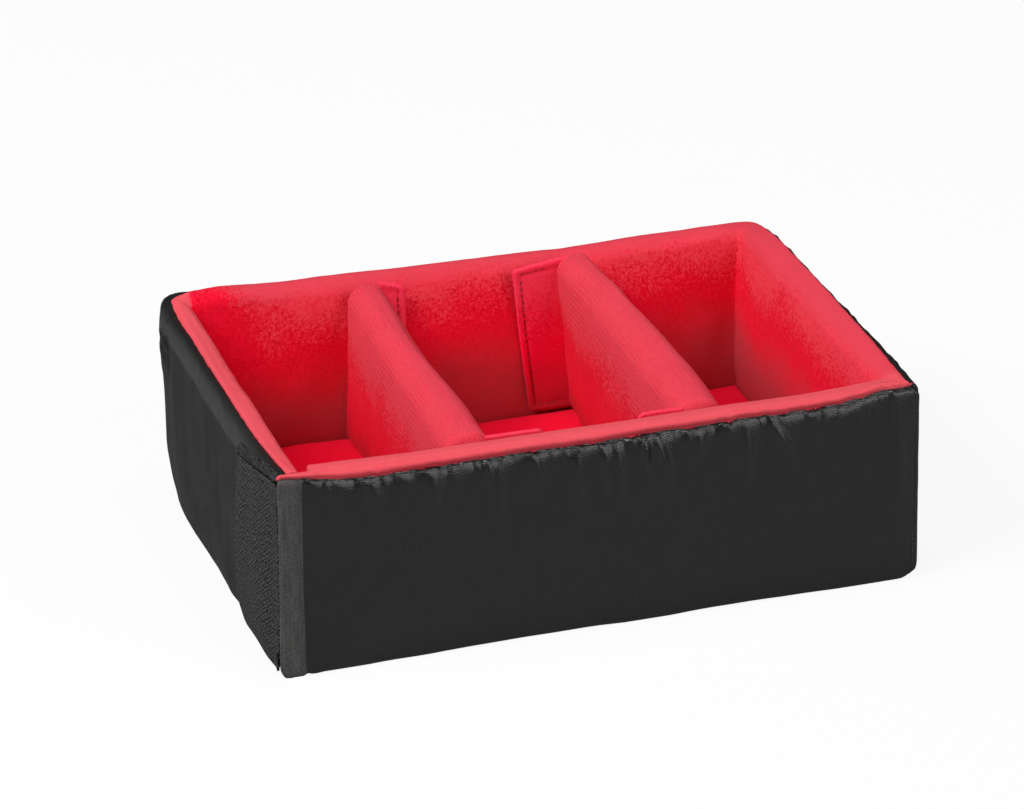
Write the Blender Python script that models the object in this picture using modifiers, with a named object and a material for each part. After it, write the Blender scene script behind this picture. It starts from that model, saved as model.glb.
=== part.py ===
# A padded divider tray: a belt of four padded walls that closes at one corner with hook tape,
# a loose base pad inside the belt, and two padded dividers held by hook flaps.
# Metres, +Z up. The front wall faces -Y, and the belt closes at the corner at -X and -Y.

import math

import bmesh
import bpy
from mathutils import Matrix, Vector

# Belt of walls
belt_length = 0.267
belt_width = 0.190
belt_height = 0.087
wall_thickness = 0.012
wall_crown = 0.001
rim_radius = 0.0055
wall_foot_radius = 0.003
fabric_thickness = 0.0018
seam_drop = 0.0045
cover_return = 0.0042
upright_radius = 0.007
lower_corner_radius = 0.008
upper_corner_radius = 0.003

# Base pad
base_thickness = 0.0155
base_crown = 0.001
base_edge_radius = 0.0048
base_foot_radius = 0.0032
base_side_gap = 0.001
base_seam_height = 0.0072

# Dividers
divider_thickness = 0.0185
divider_height = 0.0705
divider_crown = 0.0012
divider_top_radius = 0.0075
divider_edge_radius = 0.003
divider_mouth_margin = 0.0045
left_divider_place = -0.0503
right_divider_place = 0.0464
left_divider_turn = math.radians(-2.1)
right_divider_turn = math.radians(-1.7)

# Hook flaps at the dividers' ends
left_back_flap_width = 0.012
left_front_flap_width = 0.023
right_back_flap_width = 0.020
right_front_flap_width = 0.0155
flap_height = 0.0675
flap_thickness = 0.0018
flap_corner_radius = 0.004
flap_root_radius = 0.0005
flap_floor_gap = 0.0008
hook_thickness = 0.001
hook_margin = 0.0035
hook_corner_radius = 0.0015

# Closure at the front left corner
band_thickness = 0.0012
band_floor_height = 0.001
band_edge_radius = 0.0005
tape_length = 0.052
tape_height = 0.0775
tape_floor_height = 0.0045
tape_thickness = 0.0007
tape_corner_radius = 0.004
tape_hook_thickness = 0.0006
tape_hook_margin = 0.0015
patch_thickness = 0.0008
patch_margin = 0.001

# Sewn corner at the front right
seam_radius = 0.0009
seam_end_margin = 0.0045

# Fits and smoothness
seat_gap = 0.0003
core_gap = 0.0003
swing_gap = 0.0006
cut_overrun = 0.004
rounding_steps = 3
corner_steps = 5
seam_sides = 12
side_tolerance_share = 0.001

# The tape stack stands out past the left wall, so the belt lies half of it off the tray's centre.
closure_stack = 3 * seat_gap + patch_thickness + tape_hook_thickness + tape_thickness
belt_centre = closure_stack / 2
left_face = belt_centre - belt_length / 2
right_face = belt_centre + belt_length / 2
back_face = belt_width / 2
front_face = -back_face
tape_face = left_face - closure_stack
left_inside = left_face + wall_thickness
right_inside = right_face - wall_thickness
back_inside = back_face - wall_thickness
front_inside = -back_inside
band_inside = front_face + band_thickness
tape_root = band_inside + seat_gap
front_hinge = Vector((right_face - seam_radius, front_face + seam_radius, 0))
closure_hinge = Vector((tape_face, tape_root, 0))
floor_height = base_thickness + base_crown
flap_inside = back_inside - wall_crown - 2 * seat_gap - hook_thickness - flap_thickness

BLACK_NYLON = ("black_nylon", (0.020, 0.019, 0.018), 0.55)
RED_FLEECE = ("red_fleece", (0.62, 0.012, 0.035), 0.95)
GREY_FOAM = ("grey_foam", (0.23, 0.23, 0.22), 0.9)
HOOK_TAPE = ("hook_tape", (0.030, 0.029, 0.028), 0.8)


# The material of one kind of piece
def surface(kind):
    name, colour, roughness = kind
    material = bpy.data.materials.get(name)
    if material is None:
        material = bpy.data.materials.new(name)
        material.use_nodes = True
        shader = material.node_tree.nodes["Principled BSDF"]
        shader.inputs["Base Color"].default_value = (*colour, 1)
        shader.inputs["Roughness"].default_value = roughness
        shader.inputs["Metallic"].default_value = 0
    return material


# An object that rides on a body's empty
def add_object(name, mesh, body, collection):
    data = bpy.data.meshes.new(name)
    mesh.to_mesh(data)
    mesh.free()
    thing = bpy.data.objects.new(name, data)
    thing.parent = body
    collection.objects.link(thing)
    return thing


def add_piece(name, mesh, body, kind):
    piece = add_object(name, mesh, body, tray)
    piece.data.materials.append(surface(kind))
    return piece


# A shape that only cuts others
def add_cutter(name, mesh, body):
    cutter = add_object(name, mesh, body, cutters)
    cutter.hide_render = True
    cutter.display_type = "WIRE"
    return cutter


# An empty on the axis that a body moves on
def add_body(name, place, parent=None, turn=0):
    body = bpy.data.objects.new(name, None)
    body.location = place
    body.rotation_euler.z = turn
    body.parent = parent
    tray.objects.link(body)
    return body


def cut(piece, cutter, operation="DIFFERENCE"):
    modifier = piece.modifiers.new(f"{operation.lower()} {cutter.name}", "BOOLEAN")
    modifier.operation = operation
    modifier.object = cutter
    modifier.solver = "EXACT"


def round_edges(piece, radius, steps):
    modifier = piece.modifiers.new("rounded edges", "BEVEL")
    modifier.width = radius
    modifier.segments = steps
    modifier.limit_method = "WEIGHT"


def box_mesh(low, high):
    mesh = bmesh.new()
    bmesh.ops.create_cube(mesh, size=1)
    size = [b - a for a, b in zip(low, high)]
    middle = [(a + b) / 2 for a, b in zip(low, high)]
    bmesh.ops.scale(mesh, vec=size, verts=mesh.verts)
    bmesh.ops.translate(mesh, vec=middle, verts=mesh.verts)
    return mesh


# An upright prism over a plan outline
def prism_mesh(plan, low, high):
    mesh = bmesh.new()
    outline = [mesh.verts.new((*corner, low)) for corner in plan]
    floor = mesh.faces.new(reversed(outline))
    top = bmesh.ops.extrude_face_region(mesh, geom=[floor], use_keep_orig=True)
    raised = [part for part in top["geom"] if isinstance(part, bmesh.types.BMVert)]
    bmesh.ops.translate(mesh, vec=(0, 0, high - low), verts=raised)
    bmesh.ops.recalc_face_normals(mesh, faces=mesh.faces)
    return mesh


# A thin plate, with a radius for each corner as seen along its thin axis: the lower one at its low
# side, the lower one at its high side, and the two upper ones in the same order
def plate(name, body, low, high, thin_axis, radii, kind):
    wide_axis = 1 - thin_axis
    middle = [(a + b) / 2 for a, b in zip(low, high)]
    mesh = box_mesh(low, high)
    weight = mesh.edges.layers.float.new("bevel_weight_edge")
    for edge in mesh.edges:
        start, end = edge.verts[0].co, edge.verts[1].co
        if start[wide_axis] == end[wide_axis] and start.z == end.z:
            corner = (start[wide_axis] > middle[wide_axis]) + 2 * (start.z > middle[2])
            edge[weight] = radii[corner] / max(radii)
    piece = add_piece(name, mesh, body, kind)
    round_edges(piece, max(radii), corner_steps)
    return piece


# A plan outline with each corner moved in by the same distance from both its sides
def inset_plan(plan, inset):
    corners = [Vector(corner) for corner in plan]
    moved = []
    for here, corner in enumerate(corners):
        along_in = (corner - corners[here - 1]).normalized()
        along_out = (corners[(here + 1) % len(corners)] - corner).normalized()
        normal_in = Vector((-along_in.y, along_in.x))
        normal_out = Vector((-along_out.y, along_out.x))
        moved.append(corner + (normal_in + normal_out) * inset / (1 + normal_in.dot(normal_out)))
    return moved


# Which edge of a board an edge of the unit cube is, by the sides of the cube that it lies on
def edge_kind(edge):
    total = edge.verts[0].co + edge.verts[1].co
    at_end, at_side, at_level = (abs(abs(t) - 1) < side_tolerance_share for t in total)
    end = "start" if total.x < 0 else "finish"
    level = "foot" if total.z < 0 else "rim"
    if at_level and at_side:
        return level
    if at_level and at_end:
        return f"{end}_{level}"
    if at_side and at_end:
        return "inner_upright" if total.y < 0 else "outer_upright"
    return "flat"


def largest_radius(shape):
    return max(shape["radii"].values())


# A padded block over a plan of four corners, counter-clockwise from the inner left one, between
# two heights. Its faces are crowned, and its edges weigh in the rounding that follows.
def padded_mesh(plan, low, high, shape, inset, radius_loss):
    inner_left, inner_right, outer_right, outer_left = inset_plan(plan, inset)
    outward = (outer_left - inner_left + outer_right - inner_right).normalized()
    inner_crown, outer_crown, top_crown = shape["crowns"]
    mesh = bmesh.new()
    bmesh.ops.create_cube(mesh, size=1)
    for axis, stretches in enumerate(shape["stretches"]):
        edges = [e for e in mesh.edges if abs((e.verts[0].co - e.verts[1].co)[axis]) > side_tolerance_share]
        if stretches > 1:
            bmesh.ops.subdivide_edges(mesh, edges=edges, cuts=stretches - 1, use_grid_fill=True)
    weight = mesh.edges.layers.float.new("bevel_weight_edge")
    for edge in mesh.edges:
        radius = max(0, shape["radii"].get(edge_kind(edge), 0) - radius_loss)
        edge[weight] = radius / (largest_radius(shape) - radius_loss)
    for vertex in mesh.verts:
        u, v, w = vertex.co + Vector((1, 1, 1)) / 2
        inner = inner_left.lerp(inner_right, u)
        outer = outer_left.lerp(outer_right, u)
        crown_share = (1 - (2 * u - 1) ** 2) * (1 - (2 * w - 1) ** 2)
        dome_share = (1 - (2 * u - 1) ** 4) * (1 - (2 * v - 1) ** 4)
        across = inner.lerp(outer, v) + outward * crown_share * (v * outer_crown - (1 - v) * inner_crown)
        height = low + inset + (high - low - 2 * inset) * w + top_crown * w * dome_share
        vertex.co = (across.x, across.y, height)
    return mesh


# The foam of a padded board, and a cutter that hollows its fabric for it
def padded_core(name, body, plan, low, high, shape):
    inner_radius = largest_radius(shape) - fabric_thickness
    foam_mesh = padded_mesh(plan, low, high, shape, fabric_thickness + core_gap, fabric_thickness)
    foam = add_piece(f"{name}_foam", foam_mesh, body, GREY_FOAM)
    round_edges(foam, inner_radius, rounding_steps)
    hollow_mesh = padded_mesh(plan, low, high, shape, fabric_thickness, fabric_thickness)
    hollow = add_cutter(f"{name}_hollow", hollow_mesh, body)
    round_edges(hollow, inner_radius, rounding_steps)
    return hollow


# One fabric layer round a padded board
def padded_fabric(name, body, plan, low, high, shape, hollow, kind):
    fabric = add_piece(name, padded_mesh(plan, low, high, shape, 0, 0), body, kind)
    round_edges(fabric, largest_radius(shape), rounding_steps)
    cut(fabric, hollow)
    return fabric


# A padded board: black cover inside an upright region that ends at the seam, red lining elsewhere
def padded_board(name, body, plan, low, high, shape, region, seam):
    hollow = padded_core(name, body, plan, low, high, shape)
    cover = padded_fabric(f"{name}_cover", body, plan, low, high, shape, hollow, BLACK_NYLON)
    lining = padded_fabric(f"{name}_lining", body, plan, low, high, shape, hollow, RED_FLEECE)
    region_low = low - cut_overrun
    cover_region = add_cutter(f"{name}_cover_region", prism_mesh(region, region_low, seam), body)
    cut(cover, cover_region, "INTERSECT")
    grown = inset_plan(region, -seat_gap)
    lining_region = prism_mesh(grown, region_low - seat_gap, seam + seat_gap)
    cut(lining, add_cutter(f"{name}_lining_region", lining_region, body))


base_shape = {
    "crowns": (0, 0, base_crown),
    "stretches": (6, 6, 1),
    "radii": {
        "rim": base_edge_radius,
        "start_rim": base_edge_radius,
        "finish_rim": base_edge_radius,
        "inner_upright": base_edge_radius,
        "outer_upright": base_edge_radius,
        "foot": base_foot_radius,
        "start_foot": base_foot_radius,
        "finish_foot": base_foot_radius,
    },
}
divider_shape = {
    "crowns": (divider_crown, divider_crown, 0),
    "stretches": (6, 1, 4),
    "radii": {
        "rim": divider_top_radius,
        "start_rim": divider_edge_radius,
        "finish_rim": divider_edge_radius,
        "inner_upright": divider_edge_radius,
        "outer_upright": divider_edge_radius,
        "foot": divider_edge_radius,
        "start_foot": divider_edge_radius,
        "finish_foot": divider_edge_radius,
    },
}


def rectangle(low_x, low_y, high_x, high_y):
    return [(low_x, low_y), (high_x, low_y), (high_x, high_y), (low_x, high_y)]


# A wall of the belt, with a region for its cover, below the rim's seam. Some of its corners are
# rounded besides its long edges.
def padded_wall(name, body, plan, region, corner_radii):
    shape = {
        "crowns": (wall_crown, 0, 0),
        "stretches": (8, 1, 4),
        "radii": {"rim": rim_radius, "foot": wall_foot_radius, **corner_radii},
    }
    padded_board(name, body, plan, 0, belt_height, shape, region, belt_height - seam_drop)


# The side walls run up to the back wall, which covers their ends.
def left_wall(belt):
    plan = [
        (left_inside, tape_root),
        (left_inside, back_inside - seat_gap),
        (left_face, back_inside - seat_gap),
        (left_face, tape_root),
    ]
    outer_x = left_face - cut_overrun
    region = rectangle(outer_x, front_face, left_face + cover_return, back_face)
    corner_radii = {"start_foot": lower_corner_radius, "start_rim": upper_corner_radius}
    padded_wall("left_wall", belt, plan, region, corner_radii)


# The back wall's cover goes round its two ends.
def back_wall(belt):
    plan = rectangle(left_face, back_inside, right_face, back_face)
    outer_left, inner_left = left_face - cut_overrun, left_face + cover_return
    outer_right, inner_right = right_face + cut_overrun, right_face - cover_return
    outer_y, inner_y, end_y = back_face + cut_overrun, back_face - cover_return, back_inside - cut_overrun
    region = [
        (outer_left, end_y),
        (inner_left, end_y),
        (inner_left, inner_y),
        (inner_right, inner_y),
        (inner_right, end_y),
        (outer_right, end_y),
        (outer_right, outer_y),
        (outer_left, outer_y),
    ]
    corner_radii = {
        "outer_upright": upright_radius,
        "start_foot": lower_corner_radius,
        "finish_foot": lower_corner_radius,
        "start_rim": lower_corner_radius,
        "finish_rim": upper_corner_radius,
    }
    padded_wall("back_wall", belt, plan, region, corner_radii)


# The right wall's front end is mitred, to leave the front wall its swing about the sewn corner.
def right_wall(belt):
    plan = [
        (right_inside, back_inside - seat_gap),
        (right_inside, front_inside + swing_gap),
        (right_face, front_face + 2 * seam_radius + seat_gap),
        (right_face, back_inside - seat_gap),
    ]
    outer_x = right_face + cut_overrun
    region = rectangle(right_face - cover_return, front_face, outer_x, back_face)
    corner_radii = {"finish_foot": lower_corner_radius, "finish_rim": upper_corner_radius}
    padded_wall("right_wall", belt, plan, region, corner_radii)


# The front wall hangs on the sewn corner, so its plan is measured from that hinge.
def front_wall(body):
    left_end = left_inside + swing_gap
    corners = [
        (right_inside - swing_gap, front_inside),
        (left_end, front_inside),
        (left_end, front_face),
        (right_face - 2 * seam_radius - seat_gap, front_face),
    ]
    outer_y = front_face - cut_overrun
    region = rectangle(left_face, outer_y, right_face, front_face + cover_return)
    plan, region = ([Vector(corner) - front_hinge.xy for corner in shape] for shape in (corners, region))
    corner_radii = {"start_foot": lower_corner_radius, "start_rim": upper_corner_radius}
    padded_wall("front_wall", body, plan, region, corner_radii)

    band_low = Vector((tape_face, front_face, band_floor_height)) - front_hinge
    band_high = Vector((left_end - seat_gap, band_inside, belt_height - seam_drop)) - front_hinge
    band_radii = lower_corner_radius, band_edge_radius, band_edge_radius, band_edge_radius
    plate("closure_band", body, band_low, band_high, 1, band_radii, BLACK_NYLON)


# The raised seam that joins the front and right walls' covers
def corner_seam(belt):
    low, high = seam_end_margin, belt_height - seam_drop - seam_end_margin
    mesh = bmesh.new()
    bmesh.ops.create_cone(
        mesh,
        cap_ends=True,
        segments=seam_sides,
        radius1=seam_radius,
        radius2=seam_radius,
        depth=high - low,
    )
    seam = add_piece("front_right_seam", mesh, belt, BLACK_NYLON)
    seam.location = (*front_hinge.xy, (low + high) / 2)
    seam.data.shade_smooth()


# The loop patch on the left wall that the closure's hooks hold on to
def loop_patch(belt):
    outer = left_face - seat_gap
    low = (outer - patch_thickness, tape_root, tape_floor_height - patch_margin)
    high_z = tape_floor_height + tape_height - patch_margin
    high = (outer, tape_root + tape_length + patch_margin, high_z)
    radii = lower_corner_radius, tape_corner_radius, tape_corner_radius, tape_corner_radius
    plate("left_wall_loop_patch", belt, low, high, 0, radii, HOOK_TAPE)


# The closure flap, measured from its hinge at the corner: woven tape, with hooks on its inner side
def closure_flap(body):
    top = tape_floor_height + tape_height
    radii = lower_corner_radius, tape_corner_radius, band_edge_radius, tape_corner_radius
    hook_radii = [max(band_edge_radius, radius - tape_hook_margin) for radius in radii]
    plate(
        "closure_tape",
        body,
        (0, 0, tape_floor_height),
        (tape_thickness, tape_length, top),
        0,
        radii,
        HOOK_TAPE,
    )
    hook_face = tape_thickness + seat_gap
    plate(
        "closure_hooks",
        body,
        (hook_face, tape_hook_margin, tape_floor_height + tape_hook_margin),
        (hook_face + tape_hook_thickness, tape_length - tape_hook_margin, top - tape_hook_margin),
        0,
        hook_radii,
        HOOK_TAPE,
    )


def base_pad(body):
    low_x, high_x = left_inside + base_side_gap, right_inside - base_side_gap
    low_y, high_y = front_inside + base_side_gap, back_inside - base_side_gap
    plan = rectangle(low_x, low_y, high_x, high_y)
    region = inset_plan(plan, -cut_overrun)
    padded_board("base", body, plan, 0, base_thickness, base_shape, region, base_seam_height)


# One hook flap. Measured from its hinge, it reaches along X to one side and along Y to its wall.
def divider_flap(name, divider, turn, side, wall_side, width):
    near_y, far_y = flap_inside, flap_inside + flap_thickness
    half = divider_thickness / 2 / math.cos(turn)
    roots = [side * (half + seat_gap) - wall_side * y * math.tan(turn) for y in (near_y, far_y)]
    root = max(roots) if side > 0 else min(roots)
    in_tray = Vector((root, wall_side * near_y, 0))
    place = Matrix.Rotation(-turn, 3, "Z") @ in_tray
    body = add_body(f"{name}_hinge", place, divider, -turn)
    low_z = floor_height + flap_floor_gap
    high_z = low_z + flap_height

    def corners(start, end, near, far, bottom, top):
        across = sorted((side * start, side * end))
        deep = sorted((wall_side * near, wall_side * far))
        return (across[0], deep[0], bottom), (across[1], deep[1], top)

    flap_box = corners(0, width, 0, flap_thickness, low_z, high_z)
    side_radii = [flap_root_radius, flap_corner_radius][::side]
    flap_radii = side_radii * 2
    plate(name, body, *flap_box, 1, flap_radii, RED_FLEECE)
    hook_near = flap_thickness + seat_gap
    hook_box = corners(
        hook_margin,
        width - hook_margin,
        hook_near,
        hook_near + hook_thickness,
        low_z + hook_margin,
        high_z - hook_margin,
    )
    plate(name.replace("flap", "hooks"), body, *hook_box, 1, [hook_corner_radius] * 4, HOOK_TAPE)


# A padded divider: a foam core in a sleeve that is open below, with a flap at each end
def divider(name, place, turn, side, back_flap_width, front_flap_width):
    body = add_body(name, (belt_centre + place, 0, 0), turn=turn)
    reach = back_inside - wall_crown - seat_gap
    half_length = (reach - divider_thickness / 2 * math.sin(abs(turn))) / math.cos(turn)
    half_thickness = divider_thickness / 2
    low = floor_height + seat_gap
    high = low + divider_height
    plan = [
        (-half_thickness, half_length),
        (-half_thickness, -half_length),
        (half_thickness, -half_length),
        (half_thickness, half_length),
    ]
    hollow = padded_core(name, body, plan, low, high, divider_shape)
    sleeve = padded_fabric(f"{name}_sleeve", body, plan, low, high, divider_shape, hollow, RED_FLEECE)
    mouth_x = half_thickness - divider_mouth_margin
    mouth_y = half_length - divider_mouth_margin
    mouth = box_mesh(
        (-mouth_x, -mouth_y, low - cut_overrun),
        (mouth_x, mouth_y, low + fabric_thickness + seat_gap / 2),
    )
    cut(sleeve, add_cutter(f"{name}_mouth", mouth, body))
    divider_flap(f"{name}_back_flap", body, turn, side, 1, back_flap_width)
    divider_flap(f"{name}_front_flap", body, turn, side, -1, front_flap_width)


for thing in list(bpy.data.objects):
    bpy.data.objects.remove(thing)
tray = bpy.data.collections.new("case_divider_set")
cutters = bpy.data.collections.new("cutters")
bpy.context.scene.collection.children.link(tray)
bpy.context.scene.collection.children.link(cutters)

base_pad(add_body("base_pad", (0, 0, 0)))

wall_belt = add_body("wall_belt", (0, 0, 0))
left_wall(wall_belt)
back_wall(wall_belt)
right_wall(wall_belt)
corner_seam(wall_belt)
loop_patch(wall_belt)

front_wall_hinge = add_body("front_wall_hinge", front_hinge, wall_belt)
front_wall(front_wall_hinge)
closure_flap(add_body("closure_hinge", closure_hinge - front_hinge, front_wall_hinge))

left_flap_widths = left_back_flap_width, left_front_flap_width
right_flap_widths = right_back_flap_width, right_front_flap_width
divider("left_divider", left_divider_place, left_divider_turn, 1, *left_flap_widths)
divider("right_divider", right_divider_place, right_divider_turn, -1, *right_flap_widths)
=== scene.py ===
import math

import bpy
import numpy as np
from mathutils import Matrix, Vector


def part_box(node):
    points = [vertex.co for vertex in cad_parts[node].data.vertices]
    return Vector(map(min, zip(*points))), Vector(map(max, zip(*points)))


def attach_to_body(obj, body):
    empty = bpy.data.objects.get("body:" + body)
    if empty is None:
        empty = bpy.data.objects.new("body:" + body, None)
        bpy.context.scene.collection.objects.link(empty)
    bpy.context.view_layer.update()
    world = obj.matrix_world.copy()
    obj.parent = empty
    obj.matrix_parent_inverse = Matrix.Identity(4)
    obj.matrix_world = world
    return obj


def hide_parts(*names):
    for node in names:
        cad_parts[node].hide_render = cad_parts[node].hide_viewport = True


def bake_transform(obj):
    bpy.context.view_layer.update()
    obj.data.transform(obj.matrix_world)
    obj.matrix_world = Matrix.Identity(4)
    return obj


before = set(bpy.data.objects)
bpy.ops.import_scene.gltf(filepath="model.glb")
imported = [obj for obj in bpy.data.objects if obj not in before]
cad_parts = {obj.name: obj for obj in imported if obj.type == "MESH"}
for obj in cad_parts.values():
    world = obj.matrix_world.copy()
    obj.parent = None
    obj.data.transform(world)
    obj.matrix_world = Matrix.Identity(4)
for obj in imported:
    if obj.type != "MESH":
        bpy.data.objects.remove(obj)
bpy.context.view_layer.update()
scene = bpy.context.scene
mm = 0.001
tiny = 1e-6  # metres within which a point of a block counts as being on its side
floorGap = 0.05 * mm


def inMm(*values):  # lengths given in mm
    return np.array(values) * mm


print("the frame holds", len(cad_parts), "nodes")

camera = {
    "azimuth": -17.656, "elevation": 24.247, "roll": -0.925,  # degrees
    "distance": 2.4645, "aimRight": -0.00709, "aimUp": 0.05333, "lens": 207.15,
}


def placeCamera():
    azimuth, elevation, roll = (math.radians(camera[k]) for k in ("azimuth", "elevation", "roll"))
    back = Vector((
        math.sin(azimuth) * math.cos(elevation),
        -math.cos(azimuth) * math.cos(elevation),
        math.sin(elevation),
    ))
    right = (-back).cross(Vector((0, 0, 1))).normalized()
    up = back.cross(right)
    data = bpy.data.cameras.new("camera")
    data.lens = camera["lens"]
    data.clip_end = 20
    thing = bpy.data.objects.new("camera", data)
    tiltedRight = right * math.cos(roll) + up * math.sin(roll)
    tiltedUp = up * math.cos(roll) - right * math.sin(roll)
    turn = Matrix((tiltedRight, tiltedUp, back)).transposed().to_4x4()
    aim = right * camera["aimRight"] + up * camera["aimUp"]
    thing.matrix_world = Matrix.Translation(aim + back * camera["distance"]) @ turn
    scene.collection.objects.link(thing)
    scene.camera = thing


placeCamera()


# Shader maths

class Value:  # a node's output, on which Python's operators add Math nodes
    def __init__(self, finish, socket):
        self.finish, self.socket = finish, socket

    def math(self, operation, *values):
        return self.finish.add("ShaderNodeMath", {"operation": operation}, values)

    def __add__(self, other):
        return self.math("ADD", self, other)

    def __sub__(self, other):
        return self.math("SUBTRACT", self, other)

    def __rsub__(self, other):
        return self.math("SUBTRACT", other, self)

    def __mul__(self, other):
        return self.math("MULTIPLY", self, other)

    __radd__, __rmul__ = __add__, __mul__


class Finish:  # a material whose nodes are added one by one
    def __init__(self, name, colour, **shader):
        self.material = bpy.data.materials.new(name)
        self.material.use_nodes = True
        self.nodes = self.material.node_tree.nodes
        self.links = self.material.node_tree.links
        self.shader = self.nodes["Principled BSDF"]
        self.material.diffuse_color = (*colour, 1)
        self.shade("Base Color", (*colour, 1))
        for socket, value in shader.items():
            self.shade(socket.replace("_", " "), value)

    def put(self, socket, value):
        if isinstance(value, Value):
            self.links.new(value.socket, socket)
        else:
            socket.default_value = value

    def shade(self, socket, value):
        self.put(self.shader.inputs[socket], value)

    def add(self, kind, settings=None, values=(), output=0):
        node = self.nodes.new(kind)
        for key, value in (settings or {}).items():
            setattr(node, key, value)
        pairs = values.items() if isinstance(values, dict) else enumerate(values)
        for socket, value in pairs:
            self.put(node.inputs[socket], value)
        return Value(self, node.outputs[output])

    def objectPlace(self):
        return self.add("ShaderNodeTexCoord", output="Object")

    def part(self, place, axis):
        return self.add("ShaderNodeSeparateXYZ", {}, (place,), output=axis)

    def clothPlace(self, stretch=(1, 1, 1), turn=0):
        place = self.add("ShaderNodeUVMap", {"uv_map": "cloth"})
        values = {"Vector": place, "Scale": stretch, "Rotation": (0, 0, turn)}
        return self.add("ShaderNodeMapping", {}, values)

    def noise(self, place, size, detail=2.0, roughness=0.5):
        values = {"Vector": place, "Scale": 1 / size, "Detail": detail, "Roughness": roughness}
        return self.add("ShaderNodeTexNoise", {}, values, output="Fac")

    def ribs(self, place, pitch, direction="X", uneven=0.0):
        settings = {"wave_type": "BANDS", "bands_direction": direction, "wave_profile": "SIN"}
        values = {
            "Vector": place, "Scale": math.pi / 10 / pitch, "Distortion": uneven,
            "Detail": 1.0, "Detail Scale": 1.4,
        }
        return self.add("ShaderNodeTexWave", settings, values, output="Fac")

    def between(self, value, low, high):
        values = {"Value": value, "From Min": low, "From Max": high}
        return self.add("ShaderNodeMapRange", {"interpolation_type": "SMOOTHSTEP"}, values)

    def blendColours(self, share, first, second):
        colours = [(*c, 1) if isinstance(c, tuple) else c for c in (first, second)]
        values = {0: share, 6: colours[0], 7: colours[1]}
        return self.add("ShaderNodeMix", {"data_type": "RGBA"}, values, output=2)

    def bump(self, height, depth, strength):
        return self.add("ShaderNodeBump", {}, {"Height": height, "Distance": depth, "Strength": strength})


# The walls' fleece: its own tone with random darker pile, paler pinks that are painted light, a darker red
# that is painted shade, painted rim highlights, and the heights and noise sizes where each begins
fleece = {
    "deep": (0.68, 0.0016, 0.0150), "colour": (0.84, 0.0055, 0.0340), "pale": (0.84, 0.0600, 0.0900),
    "shaded": (0.86, 0.0330, 0.0620), "dark": (0.50, 0.0420, 0.0580),
    "crest": (0.75, 0.0860, 0.1080), "crestBack": (0.70, 0.0520, 0.0800),
    "pile": 0.6 * mm, "clumps": 1.6 * mm, "clouds": 22 * mm, "depth": 0.45 * mm,
    "rim": (80 * mm, 87 * mm), "leftRim": (-122 * mm, -112 * mm), "frontRim": (-84 * mm, -76 * mm),
    "paintedLightHeights": (62 * mm, 82 * mm), "low": (26 * mm, 62 * mm), "speckle": (45 * mm, 30 * mm, 24 * mm),
    "cornerFrom": (-84 * mm, -112 * mm), "cornerTo": (-122.5 * mm, -119.5 * mm),
    "cornerBack": (40 * mm, 70 * mm), "cornerShadowShift": 26 * mm,
}
# The dividers' ribbed fleece: its painted light colours are less pale than the walls', since more light falls
# on the dividers, and its painted shade is its own
sleeve = {
    "colour": (0.74, 0.0035, 0.0290), "deep": (0.62, 0.0012, 0.0150), "pale": (0.73, 0.0610, 0.0900),
    "shaded": (0.72, 0.0380, 0.0650), "dark": (0.40, 0.0100, 0.0220),
    "paintedLightHeights": (52 * mm, 70 * mm), "low": (6 * mm, 36 * mm), "ribPitch": 2.4 * mm,
}
# The flaps' fleece: painted brighter than the walls', as painted light where the flaps stand in shade
flapFleece = {
    "colour": (0.98, 0.0065, 0.0640), "deep": (0.90, 0.0030, 0.0420), "pale": (0.98, 0.0600, 0.1250),
    "shaded": (0.95, 0.0320, 0.0800), "dark": (0.42, 0.0200, 0.0340),
    "paintedLightHeights": (50 * mm, 70 * mm), "low": (14 * mm, 50 * mm),
}
baseFleece = {"colour": (0.95, 0.0055, 0.0420), "deep": (0.90, 0.0035, 0.0320)}


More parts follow.
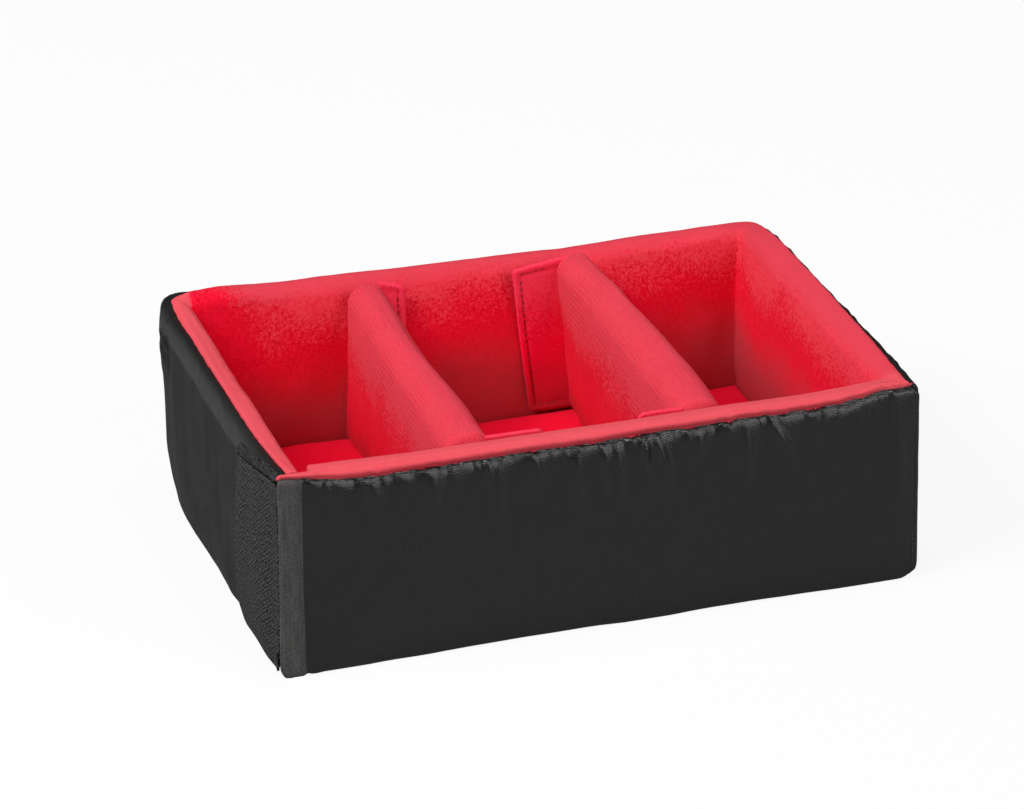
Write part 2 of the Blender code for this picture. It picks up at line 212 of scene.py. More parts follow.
# Brushed fleece, its pile darker and paler at random. Above a height, with a speckled border, pinker
# colours are painted light on the upper walls, and deep in the tray a darker red is painted shade. On the
# walls' rims a painted highlight is palest, at the left and the front most of all. In the back left corner
# the painted light begins higher up, as a painted shadow of the left wall.
def redFleece(name, **changes):
    look = {**fleece, **changes}
    finish = Finish(name, look["colour"], Roughness=0.95, Sheen_Weight=0.03, Sheen_Roughness=0.5)
    finish.shade("Specular IOR Level", 0.06)
    finish.shade("Sheen Tint", (1.0, 0.55, 0.6, 1))
    place = finish.objectPlace()
    x, y, high = (finish.part(place, axis) for axis in range(3))
    pile = finish.noise(place, look["pile"], 3, 0.7)
    clumps = finish.noise(place, look["clumps"], 2)
    cloud = finish.noise(place, look["clouds"], 1)
    height = pile * 0.8 + clumps * 0.4
    raised = high
    for grain, size in zip((pile, clumps, cloud), look["speckle"]):
        raised = raised + (grain - 0.5) * size
    tips = finish.between(pile * 0.6 + clumps * 0.4, 0.34, 0.56)
    tone = finish.blendColours(tips, look["deep"], look["colour"])
    # Painted shade: below a height with a cloudy border the fleece is painted a darker red, deep in the tray
    # where shade falls
    if look["low"]:
        above = finish.between(high + (cloud - 0.5) * (20 * mm), *look["low"])
        tone = finish.blendColours(above, look["dark"], tone)
    # Painted light: paler pinks, speckled by the pile, stand in for the light on the upper fleece
    tips = finish.between(pile * 0.7 + clumps * 0.3, 0.38, 0.6)
    paler = finish.blendColours(tips, look["shaded"], look["pale"])
    # Painted highlight on the rims' tops, palest at the left and the front
    if look["rim"]:
        inner = finish.between(x, *look["leftRim"]) * finish.between(y, *look["frontRim"])
        crest = finish.blendColours(inner, look["crest"], look["crestBack"])
        paler = finish.blendColours(finish.between(high, *look["rim"]) * (0.5 + pile), paler, crest)
        # Painted shadow of the left wall: in the back left corner the painted light begins higher up
        inCorner = finish.between(x, *look["cornerFrom"]) * finish.between(x, *look["cornerTo"])
        raised = raised - inCorner * finish.between(y, *look["cornerBack"]) * look["cornerShadowShift"]
    # Above the speckled border the painted light replaces the fleece's own tone
    tone = finish.blendColours(finish.between(raised, *look["paintedLightHeights"]), tone, paler)
    if "ribPitch" in look:
        rib = finish.ribs(finish.clothPlace(), look["ribPitch"])
        worn = finish.between(finish.noise(place, 20 * mm, 2), 0.4, 0.6)
        height = height + rib * worn * 0.4
        paleRibs = rib * worn * finish.between(high, 30 * mm, 64 * mm) * 0.35
        tone = finish.blendColours(paleRibs, tone, look["shaded"])
    finish.shade("Base Color", tone)
    finish.shade("Normal", finish.bump(height, look["depth"], 0.9))
    return finish.material


# Black nylon's own colours and gloss; the paler strip colour is a painted highlight
nylon = {
    "colour": (0.0046, 0.0045, 0.0044), "light": (0.0150, 0.0146, 0.0142), "gloss": 0.24, "sheen": 0.62,
    "thread": 0.62 * mm, "worn": None, "wornColour": (0.055, 0.053, 0.052),
}


# Woven nylon: fine threads both ways, with flecks and slubs that glitter where light falls. Where a strip
# between two girths is given, a speckled paler colour is painted there: a painted highlight along the
# shoulder, where the fabric bends over the rim.
def blackNylon(name, **changes):
    look = {**nylon, **changes}
    finish = Finish(name, look["colour"], Roughness=look["gloss"], Specular_IOR_Level=look["sheen"])
    place = finish.clothPlace()
    warp = finish.ribs(place, look["thread"])
    weft = finish.ribs(place, look["thread"] * 1.1, "Y")
    slub = finish.noise(finish.clothPlace((1, 0.12, 1)), 1.4 * mm, 2)
    fleck = finish.noise(finish.clothPlace(), 0.9 * mm, 2, 0.75)
    cloud = finish.noise(finish.objectPlace(), 26 * mm, 2)
    weave = warp.math("MAXIMUM", warp, weft) * 0.3 + slub * 0.3 + fleck * 0.5
    tone = finish.blendColours(finish.between(weave, 0.5, 0.85), look["colour"], look["light"])
    # Painted highlight: a speckled paler strip along the shoulder's bend
    if look["worn"]:
        begins, ends = look["worn"]
        girth = finish.part(place, 1) + (fleck - 0.5) * (5 * mm) + (slub - 0.5) * (3 * mm)
        strip = finish.between(girth, *begins) * (1 - finish.between(girth, *ends))
        tone = finish.blendColours(strip * (0.2 + fleck), tone, look["wornColour"])
    finish.shade("Base Color", tone)
    finish.shade("Roughness", (cloud - 0.5) * 0.14 + fleck * 0.1 + (look["gloss"] - 0.05))
    finish.shade("Normal", finish.bump(weave, 0.25 * mm, 0.7))
    return finish.material


# Hook tape's woven back: short diagonal ridges, broken up into grains
def twillTape(name, colour, light, pitch=1.4 * mm):
    finish = Finish(name, colour, Roughness=0.7, Specular_IOR_Level=0.2)
    turn = math.radians(-52)
    ridge = finish.ribs(finish.clothPlace(turn=turn), pitch, uneven=1.4)
    grain = finish.noise(finish.clothPlace((1, 0.45, 1), turn), 0.62 * mm, 1, 0.6)
    fleck = finish.noise(finish.clothPlace(), 1.0 * mm, 2, 0.75)
    height = ridge * 0.12 + grain * 0.85 + fleck * 0.6
    tone = finish.blendColours(finish.between(height, 0.66, 0.98), colour, light)
    finish.shade("Base Color", tone)
    finish.shade("Normal", finish.bump(height, 0.3 * mm, 0.7))
    return finish.material


def thread(name, colour):
    finish = Finish(name, colour, Roughness=0.5, Sheen_Weight=0.2)
    twist = finish.noise(finish.objectPlace(), 0.4 * mm, 1)
    finish.shade("Base Color", finish.blendColours(twist, colour, tuple(c * 0.5 for c in colour)))
    finish.shade("Normal", finish.bump(twist, 0.08 * mm, 0.6))
    return finish.material


redLining = redFleece("redFleece")
redSleeve = redFleece("redFleeceRibbed", rim=None, **sleeve)
redBase = redFleece("redFleeceBase", rim=None, low=None, **baseFleece)
redFlap = redFleece("redFleeceFlap", rim=None, **flapFleece)
blackCover = blackNylon("blackNylon")
# The belt's cover, with a painted highlight strip where it bends over the rim
blackSide = blackNylon(
    "blackNylonMatt", colour=(0.0045, 0.0044, 0.0043), light=(0.0150, 0.0146, 0.0142), gloss=0.52, sheen=0.25,
    worn=((74.5 * mm, 76.5 * mm), (79 * mm, 87 * mm)),
)
greyBand = blackNylon(
    "greyNylonTape", colour=(0.040, 0.0385, 0.0375), light=(0.135, 0.131, 0.127), gloss=0.6, sheen=0.35,
    thread=0.55 * mm,
)
loopFabric = blackNylon(
    "loopFabric", colour=(0.0010, 0.0010, 0.0010), light=(0.016, 0.016, 0.0156), gloss=0.85, sheen=0.12,
    thread=1.3 * mm,
)
tapeWeave = twillTape("closureTapeWeave", (0.0018, 0.0018, 0.0017), (0.082, 0.081, 0.080))
hookNylon = thread("hookNylon", (0.03, 0.03, 0.03))
loopThread = thread("loopThread", (0.045, 0.045, 0.044))
darkRedThread = thread("darkRedThread", (0.24, 0.004, 0.012))
greyThread = thread("greyThread", (0.05, 0.049, 0.048))
print("finishes made")


# Surfaces

# The cells on the surface of a block of cells, as points of whole numbers that appear once, and
# quads of them that face outwards
def blockCells(counts):
    quads = []
    for axis in range(3):
        first, second = [k for k in range(3) if k != axis]
        grid = np.meshgrid(np.arange(counts[first]), np.arange(counts[second]), indexing="ij")
        b, c = (t.ravel() for t in grid)
        for end in (0, 1):
            steps = [(0, 0), (1, 0), (1, 1), (0, 1)]
            if (end == 1) != (axis != 1):
                steps.reverse()
            corners = np.zeros((len(b), 4, 3), int)
            corners[:, :, axis] = end * counts[axis]
            for place, (stepB, stepC) in enumerate(steps):
                corners[:, place, first] = b + stepB
                corners[:, place, second] = c + stepC
            quads.append(corners)
    points, index = np.unique(np.concatenate(quads).reshape(-1, 3), axis=0, return_inverse=True)
    return points, index.reshape(-1, 4)


# Marks along one side of a block: at its ends, halfway round each rounded end, at lines, and else
# about a step apart
def marksAlong(length, low, high, step, lines=()):
    halfway = 1 - math.tan(math.pi / 8)
    stops = [0.0] + ([low * halfway, low] if low else []) + list(lines)
    stops += ([length - high, length - high * halfway] if high else []) + [length]
    marks = [0.0]
    for start, end in zip(stops, stops[1:]):
        cells = max(1, round((end - start) / step))
        marks += list(start + (end - start) * np.arange(1, cells + 1) / cells)
    return np.array(marks)


# Each point of a block's surface goes to the nearest point of an inner block, and out again from
# there by the radii, so that edges and corners are round
def roundOff(block, size, low, high):
    core = np.clip(block, low, size - high)
    reach = block - core
    radius = np.where(reach < 0, low, high)
    share = np.divide(reach, radius, out=np.zeros_like(reach), where=radius > 0)
    return core + radius * share / np.maximum(np.linalg.norm(share, axis=1, keepdims=True), 1)


# A smooth random height from -1 to 1: random values on a grid, joined by smooth steps
def drift(x, y, period, seed):
    table = np.random.default_rng(seed).uniform(-1, 1, (97, 89))
    gridX, gridY = x / period + 31.3, y / period + 17.7
    cellX, cellY = np.floor(gridX).astype(int), np.floor(gridY).astype(int)
    partX, partY = gridX - cellX, gridY - cellY
    partX, partY = (t * t * t * (t * (t * 6 - 15) + 10) for t in (partX, partY))
    value = lambda i, j: table[(cellX + i) % 97, (cellY + j) % 89]
    low = value(0, 0) * (1 - partX) + value(1, 0) * partX
    high = value(0, 1) * (1 - partX) + value(1, 1) * partX
    return low * (1 - partY) + high * partY


def smooth(value, low, high):
    share = np.clip((value - low) / (high - low), 0, 1)
    return share * share * (3 - 2 * share)


# A bell of height 1 with its middle at a place and a width
def bell(value, middle, width):
    return np.exp(-(((value - middle) / width) ** 2))


# Normals of a surface's points: the sum of its quads' diagonal cross products
def normalsOf(points, quads):
    a, b, c, d = (points[quads[:, k]] for k in range(4))
    normal = np.cross(c - a, d - b)
    total = np.zeros_like(points)
    for k in range(4):
        np.add.at(total, quads[:, k], normal)
    return total / np.maximum(np.linalg.norm(total, axis=1, keepdims=True), 1e-12)


def newObject(name, points, faces):
    mesh = bpy.data.meshes.new(name)
    mesh.from_pydata(points.tolist() if hasattr(points, "tolist") else points, [], faces.tolist())
    mesh.update()
    thing = bpy.data.objects.new(name, mesh)
    scene.collection.objects.link(thing)
    return thing


def dropObject(thing):
    mesh = thing.data
    bpy.data.objects.remove(thing)
    bpy.data.meshes.remove(mesh)


def readAll(source, key, width, kind=np.float32):
    values = np.empty(len(source) * width, kind)
    source.foreach_get(key, values)
    return values


# The same surface with each cell cut in four again and again, and each point's place in the block
def refined(points, quads, block, fabric, levels):
    thing = newObject("refining", points, quads)
    thing.data.attributes.new("block", "FLOAT_VECTOR", "POINT").data.foreach_set("vector", block.ravel())
    thing.data.attributes.new("fabric", "INT", "FACE").data.foreach_set("value", fabric)
    modifier = thing.modifiers.new("cells", "SUBSURF")
    modifier.levels = modifier.render_levels = levels
    mesh = thing.evaluated_get(bpy.context.evaluated_depsgraph_get()).to_mesh()
    co = readAll(mesh.vertices, "co", 3).reshape(-1, 3).astype(float)
    finer = readAll(mesh.loops, "vertex_index", 1, np.int32).reshape(-1, 4)
    place = readAll(mesh.attributes["block"].data, "vector", 3).reshape(-1, 3).astype(float)
    kind = readAll(mesh.attributes["fabric"].data, "value", 1, np.int32)
    dropObject(thing)
    return co, finer, place, kind


# Blender's cloth, blown up a little round its foam and held where it is sewn
def plump(points, quads, held, pressure, cap):
    thing = newObject("plumping", points, quads)
    group = thing.vertex_groups.new(name="sewn")
    for index in np.flatnonzero(held > 0).tolist():
        group.add([index], float(held[index]), "REPLACE")
    cloth = thing.modifiers.new("fabric", "CLOTH")
    cloth.settings.quality = 6
    cloth.settings.mass = 0.15
    cloth.settings.tension_stiffness = cloth.settings.compression_stiffness = 12
    cloth.settings.shear_stiffness = 4
    cloth.settings.bending_stiffness = 0.3
    cloth.settings.air_damping = 3
    cloth.settings.effector_weights.gravity = 0
    cloth.settings.use_pressure = True
    cloth.settings.uniform_pressure_force = pressure
    cloth.settings.vertex_group_mass = "sewn"
    cloth.collision_settings.use_collision = False
    cloth.point_cache.frame_start, cloth.point_cache.frame_end = 1, 20
    for step in range(1, 21):
        scene.frame_set(step)
    mesh = thing.evaluated_get(bpy.context.evaluated_depsgraph_get()).to_mesh()
    push = readAll(mesh.vertices, "co", 3).reshape(-1, 3) - points
    scene.frame_set(1)
    dropObject(thing)
    push[~np.isfinite(push).all(axis=1)] = 0
    length = np.linalg.norm(push, axis=1, keepdims=True)
    return push * (np.tanh(length / cap) * cap / np.maximum(length, 1e-9))


# One fabric of a padded piece: its own cells, with a thickness inwards. None reaches below the floor.
def newFabric(name, points, quads, uv, material, thickness):
    points[:, 2] = np.maximum(points[:, 2], floorGap)
    used, index = np.unique(quads, return_inverse=True)
    index = index.reshape(-1, 4)
    thing = newObject(name, points[used], index)
    thing.data.materials.append(material)
    thing.data.shade_smooth()
    layer = thing.data.uv_layers.new(name="cloth")
    layer.data.foreach_set("uv", uv[used][index.ravel()].astype(np.float32).ravel())
    if thickness:
        solid = thing.modifiers.new("thickness", "SOLIDIFY")
        solid.thickness = thickness
        solid.offset = -1
        solid.use_even_offset = False
        solid.use_rim = True
    return thing


def attach(piece, body, finishSlot, *nodes):
    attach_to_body(piece, body)
    if nodes:
        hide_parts(*nodes)


# A block's points and cells from the marks along its three sides
def blockOf(marks):
    index, quads = blockCells([len(m) - 1 for m in marks])
    block = np.stack([marks[axis][index[:, axis]] for axis in range(3)], axis=1)
    return index, block, quads


# A padded piece, whose form is a function from the block's coordinates to places
def newPad(block, quads, fabric, form, held, pressure, cap):
    coarse = form(block)
    rest, cells, place, kind = refined(coarse, quads, block, fabric, 2)
    points, push = form(place), np.zeros_like(coarse)
    push = plump(coarse, quads, held(block), pressure, cap)
    points = points + refined(coarse + push, quads, block, fabric, 2)[0] - rest
    return points, cells, place, kind, push


# The quads of a grid of points, with the second parameter's direction across the first one's to
# the outside
def gridCells(first, second):
    index = np.arange(first * second).reshape(first, second)
    corners = index[:-1, :-1], index[:-1, 1:], index[1:, 1:], index[1:, :-1]
    return np.stack([c.ravel() for c in corners], axis=1)


# A value along a wall: straight between its places, then smoothed with a bell
def alongWall(places, values, spread=4 * mm):
    step = 0.5 * mm
    fine = np.arange(min(places) - 6 * spread, max(places) + 6 * spread, step)
    weights = bell(np.arange(-3 * spread, 3 * spread + step / 2, step), 0, spread)
    rough = np.pad(np.interp(fine, places, values), len(weights) // 2, mode="edge")
    even = np.convolve(rough, weights / weights.sum(), mode="valid")[: len(fine)]
    return lambda along: np.interp(along, fine, even)


# Weights of a smooth curve's values at marks: a cubic B-spline over the marks' numbers
def splineWeights(places, marks):
    number = np.interp(places, marks, np.arange(len(marks)))
    cell = np.minimum(np.floor(number).astype(int), len(marks) - 2)
    t = number - cell
    shares = (1 - t) ** 3, 3 * t**3 - 6 * t**2 + 4, 1 + 3 * t + 3 * t**2 - 3 * t**3, t**3
    weights = np.zeros((*np.shape(places), len(marks)))
    flat = weights.reshape(-1, len(marks))
    for offset, share in enumerate(shares):
        column = np.clip(cell + offset - 1, 0, len(marks) - 1)
        np.add.at(flat, (np.arange(len(flat)), column.ravel()), share.ravel() / 6)
    return weights


# Many thin tubes at once. Each follows its own row of points; its rings lie round them, on each
# row's side direction and the one across it, and its two ends are closed.
def manyTubes(name, paths, sides, radius, corners, material):
    count, steps, _ = paths.shape
    along = np.gradient(paths, axis=1)
    along /= np.maximum(np.linalg.norm(along, axis=2, keepdims=True), 1e-12)
    across = np.cross(along, sides[:, None, :])
    across /= np.maximum(np.linalg.norm(across, axis=2, keepdims=True), 1e-12)
    second = np.cross(across, along)
    angle = 2 * np.pi * np.arange(corners) / corners
    reach = np.broadcast_to(radius, (count, steps))[:, :, None, None]
    ring = np.cos(angle)[:, None] * across[:, :, None, :] + np.sin(angle)[:, None] * second[:, :, None, :]
    points = (paths[:, :, None, :] + reach * ring).reshape(-1, 3)
    index = np.arange(count * steps * corners).reshape(count, steps, corners)
    turned = np.roll(index, -1, axis=2)
    cells = np.stack([index[:, :-1], index[:, 1:], turned[:, 1:], turned[:, :-1]], axis=-1).reshape(-1, 4)
    faces = cells.tolist() + index[:, 0].tolist() + index[:, -1, ::-1].tolist()
    mesh = bpy.data.meshes.new(name)
    mesh.from_pydata(points.tolist(), [], faces)
    mesh.materials.append(material)
    mesh.shade_smooth()
    thing = bpy.data.objects.new(name, mesh)
    scene.collection.objects.link(thing)
    return thing


# The padded walls

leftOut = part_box("left_wall_cover")[0].x
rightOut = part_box("right_wall_cover")[1].x
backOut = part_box("back_wall_cover")[1].y
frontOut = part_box("front_wall_cover")[0].y
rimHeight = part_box("back_wall_lining")[1].z

wall = {
    "thickness": 12 * mm, "innerRim": 5.2 * mm, "foot": 3 * mm, "end": 2.2 * mm, "step": 5.5 * mm,
    "outerCorner": 5.5 * mm, "crease": 1 * mm, "coverReturn": 4.2 * mm, "hiddenFrom": 16 * mm,
    "liningThick": 1.0 * mm, "coverThick": 0.45 * mm, "underCover": 0.7 * mm,
    "pressure": 4.0, "cap": 1.2 * mm, "stretch": 18 * mm, "seamTurn": (-0.2 * mm, 1.4 * mm),
    "nearRim": 16 * mm, "nearFoot": 8 * mm, "footReach": 7 * mm, "slimFrom": 44 * mm, "slimOver": 40 * mm,
}
leftIn, rightIn = leftOut + wall["thickness"], rightOut - wall["thickness"]
backIn, frontIn = backOut - wall["thickness"], frontOut + wall["thickness"]


# The inner and outer lines of a wall's plan, as a table by the distance along its middle
def planTable(sections):
    inner = np.concatenate([a for a, b in sections])
    outer = np.concatenate([b for a, b in sections])
    middle = (inner + outer) / 2
    steps = np.linalg.norm(np.diff(middle, axis=0), axis=1)
    return np.concatenate([[0], np.cumsum(steps)]), inner, outer


def follow(table, along):
    distance, inner, outer = table
    at = lambda line: np.stack([np.interp(along, distance, line[:, k]) for k in (0, 1)], axis=-1)
    return at(inner), at(outer)


def straight(start, end, count=80):
    return np.array(start) + (np.array(end) - np.array(start)) * np.linspace(0, 1, count)[:, None]


# A quarter of a circle about a middle, from one angle to another, in degrees
def quarter(middle, radius, start, end, count=40):
    angle = np.radians(np.linspace(start, end, count))
    return np.array(middle) + radius * np.stack([np.cos(angle), np.sin(angle)], axis=1)


# A straight line whose end curls off sideways, as the edge of a pillow does
def pillowed(line, atEnd, radius, depth, sideways):
    distance = np.linalg.norm(line - line[-1 if atEnd else 0], axis=1)
    share = np.clip(1 - distance / radius, 0, 1)
    return line + (1 - np.sqrt(1 - share**2 * 0.98))[:, None] * depth * np.array(sideways)


# Distance round a wall's section from the cover's edge under its foot: up the outer face, over the
# rim, and down the inner face. It is measured on the block, before its edges are rounded.
def girthOf(block, size):
    _, thick, tall = size
    across, height = block[..., 1], block[..., 2]
    girth = np.where(across > thick - tiny, height, 2 * tall + thick - height)
    girth = np.where(height > tall - tiny, tall + thick - across, girth)
    return np.where((height < tiny) & (across > thick / 2), across - thick, girth)


# The block's points at distances along a wall and girths on its outer side or its rim
def outerBlock(along, girth, size):
    _, thick, tall = size
    across = thick + np.minimum(girth, 0) - np.maximum(girth - tall, 0)
    return np.stack([along, across, np.clip(girth, 0, tall)], axis=-1)


# A wall's form: its block's edges are rounded, and the block then follows the wall's plan. The rim
# rises by the crest, its inner edge moves outwards by the slimming, and the inner face swells. At
# the front left corner the walls spread outwards a little towards the foot.
def wallForm(block, size, table, shape):
    _, thick, tall = size
    along, across, height = block.reshape(-1, 3).T
    rim = shape["rim"](along)
    nearTop = smooth(height, tall - wall["nearRim"], tall - rim)
    nearFoot = 1 - smooth(height, shape["foot"], shape["foot"] + wall["nearFoot"])
    plain = wall["end"] + (shape["foot"] - wall["end"]) * nearFoot
    inner = shape["inner"](along)
    innerSide = plain + (inner - wall["end"]) * nearTop
    outerSide = plain + (rim - wall["end"]) * nearTop
    foot, start, end = (np.full(len(along), radius) for radius in (shape["foot"], *shape["ends"]))
    top = np.where(across > thick / 2, rim, inner)
    flat = block.reshape(-1, 3)
    low, high = np.stack([start, innerSide, foot], axis=1), np.stack([end, outerSide, top], axis=1)
    rounded = roundOff(flat, size, low, high)
    along, height = rounded[:, 0], rounded[:, 2]
    for atEnd, radius in enumerate(shape["lowCorners"]):  # rounded lower corners at the wall's ends
        cut = radius - np.sqrt(np.maximum(radius**2 - np.maximum(radius - height, 0) ** 2, 0))
        distance = size[0] - along if atEnd else along
        near = 1 - smooth(distance, 0, 2.2 * radius)
        along = along + cut * near * (-1 if atEnd else 1)
    inner, outer = follow(table, along)
    share = rounded[:, 1] / thick
    slim = np.clip((height - tall + wall["slimFrom"]) / wall["slimOver"], 0, 1) ** 1.6
    slim = shape["slim"](along) * slim
    swell = shape["swell"](along) * np.sin(np.pi * np.clip(height / tall, 0, 1)) ** 1.3
    share = share + (1 - share) * (slim - swell) / thick
    height = height + shape["crest"](along) * smooth(height, 0, tall)
    points = np.column_stack([inner + (outer - inner) * share[:, None], height])
    points[:, 0] -= shape["spread"](along) * (1 - height / tall)
    return points.reshape(block.shape)


# Gathers that hang from a seam: ridges at random places with random widths and lengths, each
# highest a little below the seam and fading downwards, and leaning a little
def gathers(along, below, length, spacing, reach, height, seed):
    random = np.random.default_rng(seed)
    count = int(length / spacing)
    middles = (np.arange(count) + random.uniform(0.1, 0.9, count)) * spacing
    widths = random.uniform(0.22, 0.5, count) * spacing
    reaches = reach * random.uniform(0.35, 1.3, count)
    heights = height * random.uniform(0.3, 1.0, count) * random.choice([1, 1, -0.6], count)
    slants = random.uniform(-0.18, 0.18, count)
    total = np.zeros(along.shape)
    for middle, width, far, high, slant in zip(middles, widths, reaches, heights, slants):
        near = np.abs(along - middle) < 5 * spacing
        offset = along[near] - middle - slant * below[near]
        spread = width * (1 + 0.6 * below[near] / far)
        total[near] += high * np.exp(-((offset / spread) ** 2)) * np.exp(-((below[near] / far) ** 1.6))
    return total


# Single folds: each is a ridge along a straight stretch, given by its two ends along the wall and
# up it, its height and its half width, in mm
def folds(along, girth, lines):
    total = np.zeros(along.shape)
    for startAlong, startGirth, endAlong, endGirth, high, wide in lines:
        a, b = (startAlong * mm, startGirth * mm), (endAlong * mm, endGirth * mm)
        run = b[0] - a[0], b[1] - a[1]
        share = ((along - a[0]) * run[0] + (girth - a[1]) * run[1]) / (run[0] ** 2 + run[1] ** 2)
        share = np.clip(share, 0, 1)
        distance = np.hypot(along - a[0] - share * run[0], girth - a[1] - share * run[1])
        total += high * mm * np.exp(-((distance / (wide * mm)) ** 2)) * (0.35 + 0.65 * np.sin(np.pi * share))
    return total


# How the sewn line between the fabrics pulls in, with the lining swelling above it, and how far
# the lining lies below the cover past it
def seamRelief(girth, seam, shape):
    dip = -shape["dip"] * bell(girth, seam, 1.3 * mm)
    roll = shape["roll"] * bell(girth, seam + 2.4 * mm, 1.9 * mm)
    return dip + roll


# The fabrics of a wall's block: 0 for lining, 1 for what is black at the wall's ends, 2 for what the
# cover hides. An end that is sewn into a corner keeps its lining up to a depth.
def wallKinds(block, quads, size, endDepths):
    middle = block[quads].mean(axis=1)
    outside = (middle[:, 1] > size[1] - tiny) & (middle[:, 2] < size[2] - wall["hiddenFrom"])
    under = (middle[:, 2] < tiny) & (middle[:, 1] > size[1] - wall["coverReturn"])
    ends = np.zeros(len(middle), bool)
    for distance, depth in zip((middle[:, 0], size[0] - middle[:, 0]), endDepths):
        cap = (distance < tiny) & (middle[:, 1] > depth)
        ends |= cap | ((distance < wall["end"]) & (middle[:, 1] > size[1] - tiny))
    return np.where(ends, 1, np.where(outside | under, 2, 0)).astype(np.int32)


# The table of a simulated pad's moves by the marks along it and those round it
def pushTable(index, push, counts):
    number = np.zeros([c + 1 for c in counts], int)
    number[tuple(index.T)] = np.arange(len(index))
    j, k = counts[1], counts[2]
    up = number[:, j, :]
    over = number[:, j - 1 :: -1, k] if j > 0 else up[:, :0]
    down = number[:, 0, k - 1 :: -1]
    return push[np.concatenate([up, over, down], axis=1)]


# A padded wall, and what its fabrics need: its form, the simulated moves and the reliefs
def newWall(size, table, shape, relief, step):
    lines = [size[1] - wall["coverReturn"]]
    marks = [marksAlong(size[0], wall["end"], wall["end"], step),
             marksAlong(size[1], wall["foot"], 0, 3.5 * mm, lines),
             marksAlong(size[2], wall["foot"], wall["innerRim"], step)]
    index, block, quads = blockOf(marks)
    form = lambda block: wallForm(block, size, table, shape)
    girth = girthOf(block, size)
    seamMark = marks[2][np.searchsorted(marks[2], size[2] - 5 * mm)]

    def held(block):
        along, across, height = block.T
        seam = (np.abs(height - seamMark) < tiny) & (across > wall["thickness"] - tiny)
        ends = (along < tiny) | (along > size[0] - tiny)
        return np.where(seam | ends | shape["sewn"](block), 1.0, np.where(height < tiny, 0.9, 0.0))

    kinds = wallKinds(block, quads, size, shape["endDepths"])
    pad = newPad(block, quads, kinds, form, held, wall["pressure"], wall["cap"])
    counts = [len(m) - 1 for m in marks]
    over, down = size[2] + size[1] - marks[1][-2::-1], size[2] + size[1] + (size[2] - marks[2][-2::-1])
    girthMarks = np.concatenate([marks[2], over, down])
    moves = pushTable(index, pad[4], counts)
    moved = lambda along, girth: surfaceMoves(moves, marks[0], girthMarks, along, girth)
    return {"size": size, "form": form, "pad": pad, "moved": moved, "relief": relief, "shape": shape}


def surfaceMoves(moves, alongMarks, girthMarks, along, girth):
    atAlong = np.einsum("ai,ijk->ajk", splineWeights(along[:, 0], alongMarks), moves)
    return np.einsum("arj,ajk->ark", splineWeights(girth, girthMarks), atAlong)


# Points on a wall's outer side, at a grid of distances along it and girths, raised by a height
def onWall(pad, along, girth, lift):
    points = pad["form"](outerBlock(along, girth, pad["size"])) + pad["moved"](along, girth)
    cells = gridCells(*along.shape)
    normal = normalsOf(points.reshape(-1, 3), cells).reshape(points.shape)
    return points + normal * (pad["relief"](along, girth) + lift)[..., None], cells, normal


def sewLining(name, pad, material, body, nodes):
    points, cells, place, kind, _ = pad["pad"]
    girth = girthOf(place, pad["size"])
    along = place[:, 0]
    seam = pad["shape"]["seam"](along)
    hidden = smooth(seam - girth, *wall["seamTurn"]) * (girth > -1 * mm)
    height = pad["relief"](along, girth) * (girth > 0) - wall["underCover"] * hidden
    points = points + normalsOf(points, cells) * height[:, None]
    points[:, 2] += pad["shape"]["footRise"](along) * (1 - smooth(place[:, 2], 0, wall["footReach"]))
    uv = np.column_stack([along, girth])
    lining = newFabric(name, points, cells[kind == 0], uv, material, wall["liningThick"])
    attach(lining, body, "red_fleece", *nodes)
    pad["ends"] = points, cells[kind == 1]


# The cover of a wall, with rows from under its foot to its seam, and its ends
def sewCover(name, pad, material, body, nodes, fill, alongStep, rowStep):
    size = pad["size"]
    stretch = size[2] - wall["stretch"]
    foot = inMm(-wall["coverReturn"] / mm - 0.4, -3, -2, -1, 0, 0.8, 1.6, 2.4)
    count = round((stretch - wall["foot"]) / rowStep)
    finer = np.linspace(1, 0, round(wall["stretch"] / rowStep * 1.5))[1:] ** 1.4
    middle = np.linspace(wall["foot"], stretch, count)
    rows = np.concatenate([foot, middle, size[2] - (size[2] - stretch) * finer])
    tip = inMm(0, 0.3, 0.6, 1.0, 1.5)
    middle = np.linspace(wall["end"], size[0] - wall["end"], round(size[0] / alongStep))
    alongs = np.concatenate([tip, middle, size[0] - tip[::-1]])
    along, row = np.meshgrid(alongs, rows, indexing="ij")
    seam = pad["shape"]["seam"](along)
    girth = np.where(row > stretch, stretch + (row - stretch) / (size[2] - stretch) * (seam - stretch), row)
    points, quads, _ = onWall(pad, along, girth, 0)
    ends, endQuads = pad["ends"]
    used, index = np.unique(endQuads, return_inverse=True)
    allPoints = np.concatenate([points.reshape(-1, 3), ends[used]])
    allQuads = np.concatenate([quads, index.reshape(-1, 4) + points.size // 3])
    uv = np.concatenate([np.column_stack([along.ravel(), girth.ravel()]), ends[used][:, [1, 2]]])
    cover = newFabric(name, allPoints, allQuads, uv, material, wall["coverThick"])
    attach(cover, body, "black_nylon", *nodes)


# The belt's left, back and right walls

beltPlan = {
    "frontY": -90.2 * mm, "leftPinch": 2.2 * mm, "rightPinch": -0.5 * mm, "pillow": 9 * mm,
    "endGap": 1.0 * mm, "alongStep": 1.5 * mm, "rowStep": 1.7 * mm,
}


